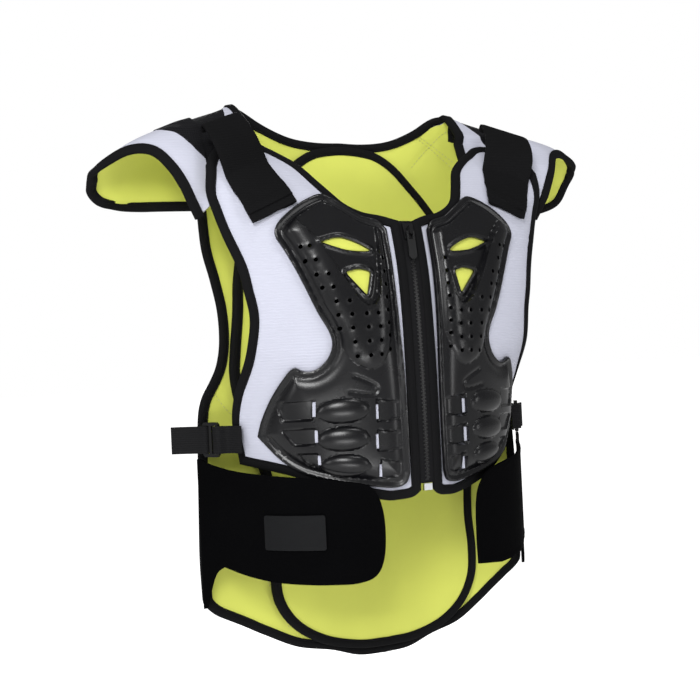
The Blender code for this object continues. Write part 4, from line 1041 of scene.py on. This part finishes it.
# Pulls in the white cloth below the strap's end, in millimetres: place across and up, half length,
# slant and depth.
CREASES = (
    (140, -124, 34, 0.16, 0.8),
    (133, -133, 40, 0.10, 1.0),
    (128, -141, 26, 0.22, 0.5),
    (150, -100, 22, 0.5, 0.5),
)
CREASE_HALF_WIDTH = 2.4


def creases(points):
    u, z = points.T / MM
    found = np.zeros(len(points))
    for place, up, length, slant, deep in CREASES:
        along = (u - place) + slant * (z - up)
        off = (z - up) - slant * (u - place)
        found -= deep * np.exp(-(along / length) ** 2 * 2) * np.exp(-(off / CREASE_HALF_WIDTH) ** 2)
    return found * MM


# Black painted shade on the panel under the plate, so that its round holes read dark: how far in from the
# plate's edge and down to where it goes, and how far round each vent the lime cloth shows instead.
HOLE_SHADE_STEP = 0.005
HOLE_SHADE_INSET = 0.006
HOLE_SHADE_FOOT = -0.262
VENT_ROUND = 0.008


def build_front(side, word):
    foot = laid_out(FRONT_HEM)[0]
    runs = [
        laid_out(FRONT_NECK), [laid_out(FRONT_NECK)[-1], foot], laid_out(FRONT_HEM), laid_out(FRONT_SIDE),
        laid_out(FRONT_TOP),
    ]
    outline, owners = joined(runs, OUTLINE_STEP)
    inner = shrink(outline, front_at, TAPE_WIDTH - TAPE_OVERLAP)
    centre = [i for i, owner in enumerate(owners) if owner == 1]
    inner[centre] = shrink(outline, front_at, CENTRE_TAPE_WIDTH - TAPE_OVERLAP)[centre]
    plate, _ = joined([laid_out(run) for run in PLATE_EDGE], HOLE_SHADE_STEP)

    def zones(points):
        found = np.zeros(len(points), int)
        # Faces well inside the plate and above its slots get the black painted shade, so that the holes read
        # dark.
        under = (depth_inside(points, plate) > HOLE_SHADE_INSET) & (points[:, 1] > HOLE_SHADE_FOOT)
        found[under] = 2
        for vent in VENTS:
            near = depth_inside(points, np.array(laid_out(vent))) > -VENT_ROUND
            found[near & under] = 1
        return found

    edge = soft_edge(inner, EDGE_ROLL)
    made = slab(
        "front_" + word, inner, front_at, lambda p: -edge(p), lambda p: edge(p) + creases(p), FINE,
        [WHITE, LIME, HOLE_SHADE, LIME], ["front_panel_" + word], "white_foam", side, zones=zones,
    )
    binding(
        "front_binding_" + word, outline, front_at, folded(TAPE_WIDTH, REACH), TAPE, ["front_tape_" + word],
        side,
    )


# Relief of a chest plate, in millimetres across and down.
V_RECESS = (
    (112, -103), (98, -119), (88, -132), (72, -160), (59, -181), (51, -188), (44, -187), (39, -178),
    (36, -150), (34.5, -135), (34, -108), (45, -98), (80, -92),
)
DOT_FIELD = (
    (121, -110), (115, -126), (104, -146), (95, -166), (86, -188), (81, -203), (73, -223), (62, -237),
    (50, -243), (38, -238), (30, -222), (26, -196), (25, -160), (25, -112), (34, -100), (80, -90),
    (112, -98),
)
TONGUE = ((64, -247), (52, -253), (45, -258), (46, -263), (53, -264), (67, -261))
# Windows beside the slots: corners, then across where it is deepest and where it has run out.
WINDOWS = (
    (((125, -267), (96, -266), (96, -284), (118, -284.5)), 97, 128),
    (((120, -292), (94, -291.5), (94, -306), (110, -307)), 95, 124),
    (((109, -314), (93, -314), (93, -326), (101, -325)), 94, 114),
    (((46, -269), (20, -272), (20, -287), (46, -289)), 44, 18),
    (((46, -296), (20, -299), (20, -313), (46, -315)), 44, 18),
    (((44, -322), (20, -326), (20, -337), (44, -340)), 42, 18),
)
BORDER = 7.0
PLATE_LIFT = 5.4
LIFT_REACH = 6.0
FIELD_LIFT = 4.6
FIELD_REACH = 15.0
RECESS_LEVEL = 3.4
RECESS_SLOPE = 2.6
HUMP_LIFT = 5.4
WINDOW_DEPTH = 3.6
WINDOW_SLOPE = 1.4
TONGUE_DEPTH = 1.2
TONGUE_WIDTH = 1.3
# Half widths of a hump grow by these shares, so that its soft foot is met.
HUMP_SPREAD = (1.04, 1.02)
# Ridges: height, how far from the edge they follow, and half width.
RIM_RIDGE = (1.0, 1.5, 1.3)
RIM_GROOVE = (-0.8, 5.1, 1.0)
VENT_RIDGE = (1.7, 1.8, 1.5)
HOLE_RIDGE = (0.30, 1.8, 0.9)


def ridge(off, shape):
    height, place, half_width = shape
    return height * np.exp(-((off - place) / half_width) ** 2)


def plate_relief(points, outline, vents):
    """Height of a chest plate over its foot, from its edge inward."""
    mm = points / MM
    edge = path_distance(points, outline) / MM
    inner = ease((edge - BORDER) / 3.0)
    rise = PLATE_LIFT * (1 - np.exp(-np.maximum(edge - BORDER, 0) / LIFT_REACH))
    rise = rise + ridge(edge, RIM_RIDGE) + ridge(edge, RIM_GROOVE)
    field = np.clip(depth_inside(mm, rounded(DOT_FIELD, 9.0)) / FIELD_REACH, 0, 1)
    rise = rise + FIELD_LIFT * np.sqrt(1 - (1 - field) ** 2) * inner
    recess = ease(depth_inside(mm, rounded(V_RECESS, 5.0)) / RECESS_SLOPE + 0.35) * inner
    rise = rise + (np.minimum(rise, RECESS_LEVEL) - rise) * recess
    wide, high = HALF_SHOULDER / MM, BACK_LENGTH / MM
    for place, down, half_width, half_height in HUMPS:
        reach = np.hypot(
            (mm[:, 0] - place * wide) / (half_width * wide * HUMP_SPREAD[0]),
            (mm[:, 1] - down * high) / (half_height * high * HUMP_SPREAD[1]),
        )
        rise = rise + HUMP_LIFT * np.sqrt(np.clip(1 - reach ** 2, 0, 1))
    for window, deep, out in WINDOWS:
        ramp = 0.35 + 0.65 * np.clip((mm[:, 0] - out) / (deep - out), 0, 1)
        sunk = ease(depth_inside(mm, np.array(window, float)) / WINDOW_SLOPE + 0.35)
        rise = rise - WINDOW_DEPTH * ramp * sunk * inner
    rise = rise - ridge(path_distance(mm, smooth_run(TONGUE, 1.5), False), (TONGUE_DEPTH, 0.0, TONGUE_WIDTH))
    for vent in vents:
        rise = rise + ridge(path_distance(points, vent) / MM, VENT_RIDGE)
    for down, places in HOLE_ROWS:
        for place in places:
            off = np.hypot(mm[:, 0] - place * wide, mm[:, 1] - down * high)
            rise = rise + ridge(np.maximum(off, HOLE_RIDGE[1]), HOLE_RIDGE)
    return rise * MM


def plate_openings():
    """Outlines of the vents, the slots and the round holes of a chest plate."""
    oval, corner = VENTS
    vents = [
        smooth_run(laid_out(oval + oval[:1]), VENT_STEP)[:-1],
        rounded(laid_out(corner), VENT_CORNER),
    ]
    slots = [
        rectangle(
            place * HALF_SHOULDER - SLOT_HALF_WIDTH, place * HALF_SHOULDER + SLOT_HALF_WIDTH,
            top * BACK_LENGTH, foot * BACK_LENGTH,
        )
        for place, top, foot in SLOTS
    ]
    turn = np.linspace(0, 2 * math.pi, HOLE_CORNERS + 1)[:-1]
    circle = HOLE_RADIUS * np.stack([np.cos(turn), np.sin(turn)], axis=1)
    rounds = [
        circle + (place * HALF_SHOULDER, down * BACK_LENGTH) for down, places in HOLE_ROWS for place in places
    ]
    return vents, slots, rounds


# Plate details in metres: the vents' points and corners, the sewn groove in from the edge, and the
# foam that fills the slots and the vents up to just under the plate.
VENT_STEP = 0.0016
VENT_CORNER = 0.003
GROOVE_INSET = 0.0051
THREAD_PROUD = 0.00015
SLOT_SHARE = 0.90
FOAM_SINK = 0.001
VENT_FOAM_FINE = 0.003
VENT_FOAM_WIDER = 0.0012
VENT_FOAM_SINK = 0.0003


def build_plate(side, word):
    outline, _ = joined([laid_out(run) for run in PLATE_EDGE], PLATE_OUTLINE_STEP)
    vents, slots, rounds = plate_openings()
    base = HALF + TAPE_PROUD + 2 * GAP

    def low(points):
        return base + plate_relief(points, outline, vents)

    def high(points):
        return base + PLATE_WALL + plate_relief(points, outline, vents)

    slab(
        "plate_" + word, outline, front_at, low, high, PLATE_FINE, [PLATE], ["chest_plate_" + word],
        "black_plate", side, holes=vents + slots + rounds,
    )
    groove = shrink(outline, front_at, GROOVE_INSET)
    if not inside(groove[:1], outline)[0]:
        groove = shrink(outline, front_at, -GROOVE_INSET)
    stitches(
        "plate_stitches_" + word, np.concatenate([groove, groove[:1]]), front_at,
        lambda p: high(p) + THREAD_PROUD, PLATE_STITCH, THREAD, side,
    )
    parts = []
    for slot in slots:
        middle = slot.mean(axis=0)
        rim = straight_sided(middle + (slot - middle) * SLOT_SHARE, SMALL_STEP)
        top = float(high(slot).mean()) - FOAM_SINK
        parts.append(shell(rim, front_at, HALF - FOAM_SINK, top, SMALL_STEP)[:2])
    islands("slot_foam_" + word, parts, WHITE, side)
    parts = []
    for vent in vents:
        wide = shrink(vent, front_at, -VENT_FOAM_WIDER)
        if depth_inside(vent[:1], wide)[0] < 0:
            wide = shrink(vent, front_at, VENT_FOAM_WIDER)
        top = float(low(np.concatenate([vent, wide])).min()) - VENT_FOAM_SINK
        parts.append(shell(wide, front_at, HALF - FOAM_SINK, top, VENT_FOAM_FINE)[:2])
    islands("vent_foam_" + word, parts, LIME, side)


def rounded(points, radius):
    """Polygon with its corners cut round."""
    points = np.array(points, float)
    made = []
    for before, here, after in zip(np.roll(points, 1, axis=0), points, np.roll(points, -1, axis=0)):
        start = here + (before - here) * min(radius / np.linalg.norm(before - here), 0.45)
        end = here + (after - here) * min(radius / np.linalg.norm(after - here), 0.45)
        for t in (0.0, 0.33, 0.67, 1.0):
            made.append(start * (1 - t) ** 2 + here * 2 * t * (1 - t) + end * t ** 2)
    return np.array(made)


# Quilted lines of the lining, on the wearer's left half, in across and up, then how deep and wide
# they draw the lining in and how far their threads stand in it.
BACK_SEAMS = (
    ((0.66, -0.80), (0.565, -0.904), (0.49, -0.985)),
    ((0.84, -0.46), (0.792, -0.502), (0.726, -0.551), (0.66, -0.575)),
    ((0.30, 0.028), (0.462, -0.017), (0.66, -0.077)),
    ((0.31, 0.036), (0.462, -0.009), (0.66, -0.061)),
    ((0.40, -0.078), (0.462, -0.053), (0.622, 0.011)),
)
SEAM_DEPTH = 0.0009
SEAM_HALF_WIDTH = 0.0026
SEAM_THREAD_SINK = 0.0005


def bound_inside(outline, owners, bound, surface):
    """Panel outline drawn in where it is bound and left as it is where it is sewn to another panel."""
    inner = shrink(outline, surface, TAPE_WIDTH - TAPE_OVERLAP)
    plain = [i for i, owner in enumerate(owners) if owner not in bound]
    inner[plain] = outline[plain]
    kept = [0]
    for i in range(1, len(inner)):
        if np.linalg.norm(inner[i] - inner[kept[-1]]) >= LEAST_STEP:
            kept.append(i)
    return inner[kept]


def build_back():
    strip = laid_out(STRIP_EDGE)
    half = [
        laid_out(BACK_HEM), laid_out(BACK_TAIL), laid_out(BACK_SIDE), laid_out(SEAM_LOW),
        [laid_out(SEAM_LOW)[-1], strip[0]], strip, [strip[-1], laid_out(NECK)[0]], laid_out(NECK),
    ]
    runs = half + [mirrored(run) for run in reversed(half)]
    outline, owners = joined(runs, OUTLINE_STEP)
    last = len(runs) - 1
    edge_runs = {0, 1, 2, last, last - 1, last - 2}
    neck_runs = {7, 8}
    inner = bound_inside(outline, owners, edge_runs | neck_runs, back_at)
    edge = soft_edge(inner, EDGE_ROLL)
    seams = [np.array(laid_out(seam)) for seam in BACK_SEAMS]
    seams += [seam * [-1, 1] for seam in seams]

    def high(points):
        shape = (SEAM_DEPTH, 0.0, SEAM_HALF_WIDTH)
        return edge(points) - sum(ridge(path_distance(points, seam, False), shape) for seam in seams)

    made = slab(
        "back", inner, back_at, lambda p: -edge(p), high, BACK_FINE, [LIME, WHITE], ["back_panel"],
        "white_foam",
    )
    for k, seam in enumerate(seams):
        stitches(
            "lining_stitches_" + str(k + 1), smooth_run(seam, OUTLINE_STEP), back_at, HALF - SEAM_THREAD_SINK,
            LINING_STITCH, LIME_THREAD, within=inner,
        )
    for name, chosen, node_name in (
        ("back_binding", edge_runs, "back_edge_tape"), ("neck_binding", neck_runs, "neck_tape"),
    ):
        path = outline[run_order(owners, chosen)]
        binding(name, path, back_at, folded(TAPE_WIDTH, REACH), TAPE, [node_name], closed=False)


# How far the pad's cloth sinks at its binding, and its soft billow: height, then waves in a metre
# across and up.
PAD_SINK = 0.0012
BILLOW = (0.0009, 31, 23)


def build_pad():
    half = laid_out(PAD_EDGE)
    outline, _ = joined([half, mirrored(half)], OUTLINE_STEP)
    base = HALF + TAPE_PROUD + GAP
    inner = shrink(outline, back_at, TAPE_WIDTH - PAD_OVERLAP)
    edge_height = PAD_EDGE_WALL - PAD_SINK

    def face(points):
        share = np.clip(path_distance(points, inner) / PAD_CROWN, 0, 1)
        height, wide, high = BILLOW
        billow = height * np.sin(points[:, 0] * wide + 1.0) * np.sin(points[:, 1] * high) * ease(share)
        return base + edge_height + (PAD_WALL - edge_height) * np.sin(share * math.pi / 2) + billow

    made = slab("pad", inner, back_at, base, face, PAD_FINE, [LIME], ["back_pad"], "lime_foam")
    binding(
        "pad_binding", outline, back_at, folded(TAPE_WIDTH, base + PAD_EDGE_WALL + TAPE_PROUD, base), TAPE,
        ["pad_tape"],
    )


# The mesh that laps onto the cap of the wearer's right shoulder, in across and up.
YOKE_FLAP = (
    (0.826, 0.010), (1.000, 0.010), (1.000, 0.095), (0.980, 0.120), (0.942, 0.145), (0.910, 0.174),
    (0.876, 0.203), (0.839, 0.222), (0.835, 0.150),
)
YOKE_HALF = 0.001
# Height of the mesh's knots, then their waves in a metre across and up.
YOKE_KNOTS = (0.0004, 420, 260)
# How far the flap stands in front of the cap, and its wall under that.
FLAP_STEP = 0.003
FLAP_PROUD = 0.0007
FLAP_SINK = 0.0004
# Pull of the cap's cloth in millimetres: height, then place and reach across and up, then its waves.
PULL_HEIGHT = 0.8
PULL_PLACE = (178, 60)
PULL_REACH = (16, 40)
PULL_WAVES = (0.10, 0.16)


def cap_pull(points):
    u, v = points.T / MM
    off = (points / MM - PULL_PLACE) / PULL_REACH
    near = np.exp(-(off ** 2).sum(axis=1))
    return PULL_HEIGHT * MM * near * np.sin(PULL_WAVES[1] * v + PULL_WAVES[0] * u)


def yoke_face(points):
    height, wide, high = YOKE_KNOTS
    return YOKE_HALF + height * np.sin(points[:, 0] * wide) * np.sin(points[:, 1] * high)


def build_shoulder(side, word):
    surface = wing(side)
    strip = laid_out(STRIP_EDGE)
    seam = laid_out(SEAM_HIGH)
    outline, _ = joined([[strip[0], seam[0]], seam, [seam[-1], strip[-1]], strip[::-1]], OUTLINE_STEP)
    slab(
        "yoke_" + word, outline, surface, -YOKE_HALF, yoke_face, OUTLINE_STEP, [MESH],
        ["shoulder_mesh_" + word], "black_mesh", side,
    )
    runs = [
        laid_out(CAP_EDGE), laid_out(CAP_FRONT), laid_out(SEAM_FRONT)[::-1], seam[::-1],
        laid_out(SEAM_LOW)[::-1], laid_out([SEAM_LOW[0], CAP_EDGE[0]]),
    ]
    outline, owners = joined(runs, OUTLINE_STEP)
    inner = bound_inside(outline, owners, {0}, surface)
    edge = soft_edge(inner, CAP_EDGE_ROLL)
    made = slab(
        "cap_" + word, inner, surface, lambda p: -edge(p), edge, OUTLINE_STEP, [LIME, WHITE],
        ["shoulder_cap_" + word], "white_foam", side, shift=cap_pull,
    )
    binding(
        "cap_binding_" + word, outline[run_order(owners, {0})], surface, folded(TAPE_WIDTH, REACH), TAPE,
        ["cap_tape_" + word], side, closed=False,
    )
    if side == -1:
        slab(
            "yoke_flap", straight_sided(laid_out(YOKE_FLAP), FLAP_STEP), surface, -(HALF + FLAP_PROUD),
            -(HALF - FLAP_SINK), OUTLINE_STEP, [MESH], [], "black_mesh", side, shift=cap_pull,
        )


# Strap knots where the visible strap starts, folded, and where its inner and outer corners end.
STRAP_FOLD = 2.95
STRAP_CURL = 0.0028
STRAP_CURL_TURNS = np.radians((200, 170, 140, 110, 80, 50, 25))
STRAP_ENDS = {-1: (7.10, 7.28), 1: (7.0, 6.95)}
STRAP_ROW_COUNT = 96
STRAP_COLUMNS = 16
# How far the strap keeps off the front panel, in its lift there, and the knots over which it
# changes to the tab's lift.
STRAP_CLEAR = 1.12
STRAP_TAB_EASE = 0.14
# Shares of the strap's run where the double tab starts and where its hem is sewn, with the runs
# over which they come, and what they add to half the strap's wall or take off it.
TAB_AT = (0.80, 0.03)
HEM_AT = (0.905, 0.008)
TAB_MORE = 0.0013
HEM_LESS = 0.0019
CURL_UNDER = 0.0012
# Half wall left at the strap's sides, and the columns over which it grows to the whole.
STRAP_SIDE_SHARE = 0.55
STRAP_SIDE_COLUMNS = 1.2
SLOPE_SHARE = 0.004


def strap_knots(surface):
    """Knots of the strap's inner and outer edge, from the yoke to the front panel."""
    lift = HALF + GAP + STRAP_WALL / 2 + 4 * GAP
    knots = ([], [])
    for row in STRAP_BACK:
        for place, run in zip(row, knots):
            here, normal = frames(surface, [(place * HALF_SHOULDER, row[2] * BACK_LENGTH)])
            run.append(here[0] - normal[0] * lift)
    for row in STRAP_ROWS:
        for edge, run in zip(row, knots):
            run.append((edge[0] * HALF_SHOULDER, edge[1] * DEPTH, edge[2] * BACK_LENGTH))
    return knots


def strap_middle(knots, ends):
    """Surface through the middle of a strap, by shares of its width and of its run."""
    top = FRONT_TOP[3][1] * BACK_LENGTH
    plain_lift = HALF + TAPE_PROUD + GAP + STRAP_WALL / 2
    tab_lift = HALF + TAPE_PROUD + GAP + STRAP_TAB_WALL / 2
    tab_start = STRAP_TAB_START * (len(knots[0]) - 1)

    def middle(wide, along):
        wide = wide.ravel()
        end = ends[0] + (ends[1] - ends[0]) * wide
        place = STRAP_FOLD + (end - STRAP_FOLD) * along.ravel()
        points = catmull(knots[0], place)
        points = points + (catmull(knots[1], place) - points) * wide[:, None]
        low = points[:, 2] < top
        share = np.clip((place - tab_start) / STRAP_TAB_EASE, 0, 1)
        clear = plain_lift + (tab_lift - plain_lift) * share
        depth = front_depth(points[:, 0], points[:, 2]) - clear * STRAP_CLEAR
        points[low, 1] = np.minimum(points[low, 1], depth[low])
        return points

    return middle


def sheet_faces(rows, columns, count):
    """Faces of a closed sheet of two grids, the second starting at count."""
    def at(row, column):
        return row * (columns + 1) + column

    faces = []
    for row in range(rows):
        for column in range(columns):
            quad = (at(row, column), at(row, column + 1), at(row + 1, column + 1), at(row + 1, column))
            faces.append(quad)
            faces.append(tuple(i + count for i in quad[::-1]))
    rim = [at(0, c) for c in range(columns)] + [at(r, columns) for r in range(rows)]
    rim += [at(rows, c) for c in range(columns, 0, -1)] + [at(r, 0) for r in range(rows, 0, -1)]
    return faces + [(a, b, b + count, a + count) for a, b in zip(rim, rim[1:] + rim[:1])]


def build_strap(side, word):
    middle = strap_middle(strap_knots(wing(side)), STRAP_ENDS[side])
    rows, columns = STRAP_ROW_COUNT, STRAP_COLUMNS
    along, wide = np.meshgrid(np.linspace(0, 1, rows + 1), np.linspace(0, 1, columns + 1), indexing="ij")
    points = middle(wide, along)

    def nudged(share, step):
        return np.clip(share + step, 0, 1)

    du = middle(nudged(wide, SLOPE_SHARE), along) - middle(nudged(wide, -SLOPE_SHARE), along)
    dv = middle(wide, nudged(along, SLOPE_SHARE)) - middle(wide, nudged(along, -SLOPE_SHARE))
    normal = np.cross(du, dv)
    normal /= np.linalg.norm(normal, axis=1)[:, None]
    normal *= np.sign(normal @ np.array([0.0, -0.5, 1.0]))[:, None]
    tangent = dv / np.linalg.norm(dv, axis=1)[:, None]
    share = along.ravel()
    under = STRAP_WALL / 2 + TAB_MORE * ease((share - TAB_AT[0]) / TAB_AT[1])
    over = under - HEM_LESS * ease((share - HEM_AT[0]) / HEM_AT[1])
    first = columns + 1
    spokes = [
        normal[:first] * math.cos(turn) - tangent[:first] * math.sin(turn) for turn in STRAP_CURL_TURNS
    ]
    centre = points[:first] - normal[:first] * STRAP_CURL
    points = np.concatenate([centre + spoke * STRAP_CURL for spoke in spokes] + [points])
    normal = np.concatenate(spokes + [normal])
    over = np.concatenate([np.full(first * len(spokes), STRAP_WALL / 2), over])
    under = np.concatenate([np.full(first * len(spokes), CURL_UNDER), under])
    rows += len(spokes)
    wide = np.tile(np.linspace(0, 1, columns + 1), rows + 1)
    rim = np.minimum(wide, 1 - wide) * columns
    round_off = STRAP_SIDE_SHARE + (1 - STRAP_SIDE_SHARE) * ease(rim / STRAP_SIDE_COLUMNS)
    top = points + normal * (over * round_off)[:, None]
    foot = points - normal * (under * round_off)[:, None]
    faces = sheet_faces(rows, columns, len(points))
    add_mesh(
        "strap_" + word, np.concatenate([top, foot]), faces, [ELASTIC], [0] * len(faces),
        ["shoulder_strap_" + word], side,
    )


# Belt flap: turn where it stops being sewn down, half its wall at the edge and what grows on it,
# then the rolled rim and the sewn line beside it, in millimetres from the edge.
BELT_ROOT_TURN = 9
BELT_EDGE_HALF = 0.0012
BELT_GROWS = 0.0003
BELT_RIM = 0.5
BELT_RIM_END = 4.5
BELT_LINE = (-0.35, 5.4, 0.7)
# Wave of the flap in millimetres: height, length over a turn, start, place and reach.
BELT_WAVE = (0.5, 13.0, 0.6, 80, 70)
# The patch lies on the flap, with a low border.
PATCH_CORNER = 0.002
PATCH_BASE = 0.0022
PATCH_FOOT = 0.0019


def belt_wave(points):
    height, length, start, place, reach = BELT_WAVE
    along = points[:, 0] / MM
    return height * MM * np.sin(along / length + start) * np.exp(-((along - place) / reach) ** 2)


def build_belt(side, word):
    end = BELT_END_RIGHT if side == -1 else BELT_END_LEFT
    top = [(t, d) for t, d in BELT_TOP if t < end[0][0]]
    runs = [top + list(end) + list(BELT_FOOT), list(BELT_ROOT_FOOT), [BELT_ROOT_FOOT[-1], top[0]]]
    if side == 1:
        runs = [top + list(end), [end[-1], BELT_FOOT[0]], list(BELT_FOOT)] + runs[1:]
    runs = [[(t * TURN_METRE, d * BACK_LENGTH) for t, d in run] for run in runs]
    outline = joined(runs, BELT_OUTLINE_STEP)[0][::-1]

    def thick(points):
        edge = path_distance(points, outline) / MM
        sewn = ease((points[:, 0] - BELT_ROOT_TURN * TURN_METRE) / 0.01)
        rim = BELT_RIM * ease(edge / 1.2) * (1 - ease((edge - BELT_RIM_END) / 0.8)) + ridge(edge, BELT_LINE)
        return BELT_EDGE_HALF + BELT_GROWS * ease(edge / 1.5) + MM * rim * sewn

    made = slab(
        "belt_" + word, outline, belt_at, lambda p: -thick(p), thick, BELT_FINE, [BELT],
        ["belt_flap_" + word], "black_elastic", side, shift=belt_wave,
    )


def build_patch():
    turns = [turn * TURN_METRE for turn in PATCH_TURN]
    downs = [down * BACK_LENGTH for down in PATCH_DOWN[::-1]]
    outline = straight_sided(rounded(rectangle(*turns, *downs), PATCH_CORNER), SMALL_STEP)

    def face(points):
        edge = path_distance(points, outline) / MM
        rim = 0.35 * (1 - ease((edge - 1.6) / 0.5)) + 0.25 * ease((edge - 2.4) / 0.6)
        return -(PATCH_BASE + PATCH_WALL + MM * rim)

    slab(
        "patch", outline, belt_at, face, -PATCH_FOOT, PATCH_FINE, [PATCH], ["belt_patch"], "grey_patch", -1,
        shift=belt_wave,
    )


# Zip: where its cloths meet, how far they run in under the bindings, how much shorter the chain is
# at each end and, for a tooth, half its height at the tip and at the root and its two faces.
ZIP_MEETING = 0.0008
ZIP_TUCK = 0.003
CHAIN_START = 0.003
CHAIN_SHORTER = 0.004
TOOTH_TIP_HALF = 0.00062
TOOTH_ROOT_HALF = 0.0007
TOOTH_OFFSETS = (-0.0011, 0.0012)
ZIP_CORE_OFFSETS = (-0.0009, 0.0007)
BOX_FACES = ((0, 1, 3, 2), (4, 6, 7, 5), (0, 4, 5, 1), (2, 3, 7, 6), (0, 2, 6, 4), (1, 5, 7, 3))


def zip_chain(top, foot):
    """Teeth from the left and the right in turn, as closed blocks."""
    vertices = []
    faces = []
    for k in range(int((top - foot - CHAIN_SHORTER) / TOOTH_PITCH)):
        place, normal = frames(front_at, [(0.0001, foot + CHAIN_START + k * TOOTH_PITCH)])
        centre = place[0] * [0, 1, 1]
        slope = np.array([0.0, -normal[0][2], normal[0][1]])
        sign = 1 if k % 2 else -1
        first = len(vertices)
        for x, half in ((sign * TOOTH_REACH, TOOTH_TIP_HALF), (-sign * TOOTH_ROOT, TOOTH_ROOT_HALF)):
            for out in TOOTH_OFFSETS:
                for up in (-half, half):
                    vertices.append(centre + [x, 0, 0] + normal[0] * out + slope * up)
        faces += [tuple(first + i for i in face) for face in BOX_FACES]
    add_mesh("zip_chain", vertices, faces, [PLASTIC], [0] * len(faces), ["zip_teeth"])


def build_zip():
    top = FRONT_NECK[-1][1] * BACK_LENGTH
    foot = ZIP_FOOT * BACK_LENGTH
    cloth = straight_sided(rectangle(ZIP_MEETING, ZIP_HALF_GAP + ZIP_TUCK, foot, top), OUTLINE_STEP)
    for side, word in ((1, "left"), (-1, "right")):
        slab(
            "zip_side_" + word, cloth, front_at, -ZIP_TAPE_WALL / 2, ZIP_TAPE_WALL / 2, OUTLINE_STEP,
            [ZIP_CLOTH], ["zip_tape_" + word], "zip_tape", side,
        )
    zip_chain(top, foot)
    core = straight_sided(rectangle(-ZIP_CORE_HALF_WIDTH, ZIP_CORE_HALF_WIDTH, foot, top), OUTLINE_STEP)
    slab("zip_core", core, front_at, *ZIP_CORE_OFFSETS, OUTLINE_STEP, [TAPE], [], "zip_tape")


# The solids that stay as they are, with their bevel and material.
HARD_PIECES = (
    ("zip_slider", 0.0005, PLASTIC),
    ("zip_pull", 0.0003, PLASTIC),
    ("zip_end_stop", 0.0004, METAL),
    ("side_lock_left", 0.0005, PLASTIC),
    ("side_lock_right", 0.0005, PLASTIC),
)


def dress_hard_pieces():
    for name, width, material in HARD_PIECES:
        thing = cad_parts[name]
        thing.data.materials.clear()
        thing.data.materials.append(material)
        bevel = thing.modifiers.new("bevel", "BEVEL")
        bevel.width = width
        bevel.segments = 2
        bevel.limit_method = "ANGLE"


# Cross-section of the webbing in its width and wall, and the step along it. The wearer's left tail
# lies behind the vest, so it ends sooner.
WEBBING_PROFILE = (
    (-0.5, 0.35), (-0.47, 0.5), (0.47, 0.5), (0.5, 0.35), (0.5, -0.35), (0.47, -0.5), (-0.47, -0.5),
    (-0.5, -0.35),
)
WEBBING_FINE = 0.0012


def band(name, path, origin, along, out, nodes, side):
    """Webbing swept along a level path, given by distances along and out from an origin."""
    points = smooth_run(path, WEBBING_FINE)
    run = np.gradient(points, axis=0)
    flat = np.stack([-run[:, 1], run[:, 0]], axis=1)
    flat /= np.linalg.norm(flat, axis=1)[:, None]
    vertices = []
    for (t, n), (a, b) in zip(points, flat):
        for w, h in WEBBING_PROFILE:
            spot = origin + along * (t + a * h * WEBBING_WALL) + out * (n + b * h * WEBBING_WALL)
            vertices.append(spot + np.array([0, 0, w * WEBBING_WIDTH]))
    size = len(WEBBING_PROFILE)
    last = (len(points) - 1) * size
    faces = [
        (i + j, i + size + j, i + size + (j + 1) % size, i + (j + 1) % size)
        for i in range(0, last, size) for j in range(size)
    ]
    faces += [tuple(range(size)), tuple(range(last, last + size))[::-1]]
    add_mesh(name, vertices, faces, [WEBBING], [0] * len(faces), nodes, side)


def build_fastening(side, word):
    level = FASTENING_DOWN * BACK_LENGTH
    downs = [row[1] for row in FRONT_SIDE]
    k = next(i for i in range(len(downs) - 1) if downs[i + 1] > FASTENING_DOWN)
    share = (FASTENING_DOWN - downs[k]) / (downs[k + 1] - downs[k])
    front_across = FRONT_SIDE[k][0] + share * (FRONT_SIDE[k + 1][0] - FRONT_SIDE[k][0])
    lift = HALF + TAPE_PROUD + 2 * GAP + WEBBING_WALL / 2
    on_front = []
    for place in (front_across - TAB_HOLD, front_across):
        here, normal = frames(front_at, [(place * HALF_SHOULDER, level)], DIFFERENCE)
        flat = normal[0] * [1, 1, 0]
        on_front.append(here[0] + flat / np.linalg.norm(flat) * (lift + TAB_EASE))
    on_back = [
        back_at(np.array([(place * HALF_SHOULDER, level)]))[0] - [0.0, lift, 0.0]
        for place in (FASTENING_BACK - TAB_HOLD, FASTENING_BACK)
    ]
    start = np.array([on_front[1][0], on_front[1][1], level])
    end = np.array([on_back[1][0], on_back[1][1], level])
    along = (end - start) / np.linalg.norm(end - start)
    out = np.array([along[1], -along[0], 0.0])
    middle = start + along * (FASTENING_PLACE * np.linalg.norm(end - start)) + out * FASTENING_BULGE

    def seen(points):
        return [((p - middle) @ along, (p - middle) @ out) for p in points]

    def scaled(path):
        return [(t * LOCK_LENGTH, n * LOCK_WALL) for t, n in path]

    tail = WEBBING_PATH[:-2] if side == 1 else WEBBING_PATH
    band("tab_" + word, seen(on_front) + scaled(TAB_PATH), middle, along, out, ["side_tab_" + word], side)
    band("webbing_" + word, seen(on_back) + scaled(tail), middle, along, out, ["side_webbing_" + word], side)


make_stage()
build_back()
build_pad()
for side, word in ((1, "left"), (-1, "right")):
    build_shoulder(side, word)
    build_front(side, word)
    build_plate(side, word)
    build_strap(side, word)
    build_belt(side, word)
    if side == -1:
        build_patch()
    build_fastening(side, word)
build_zip()
dress_hard_pieces()
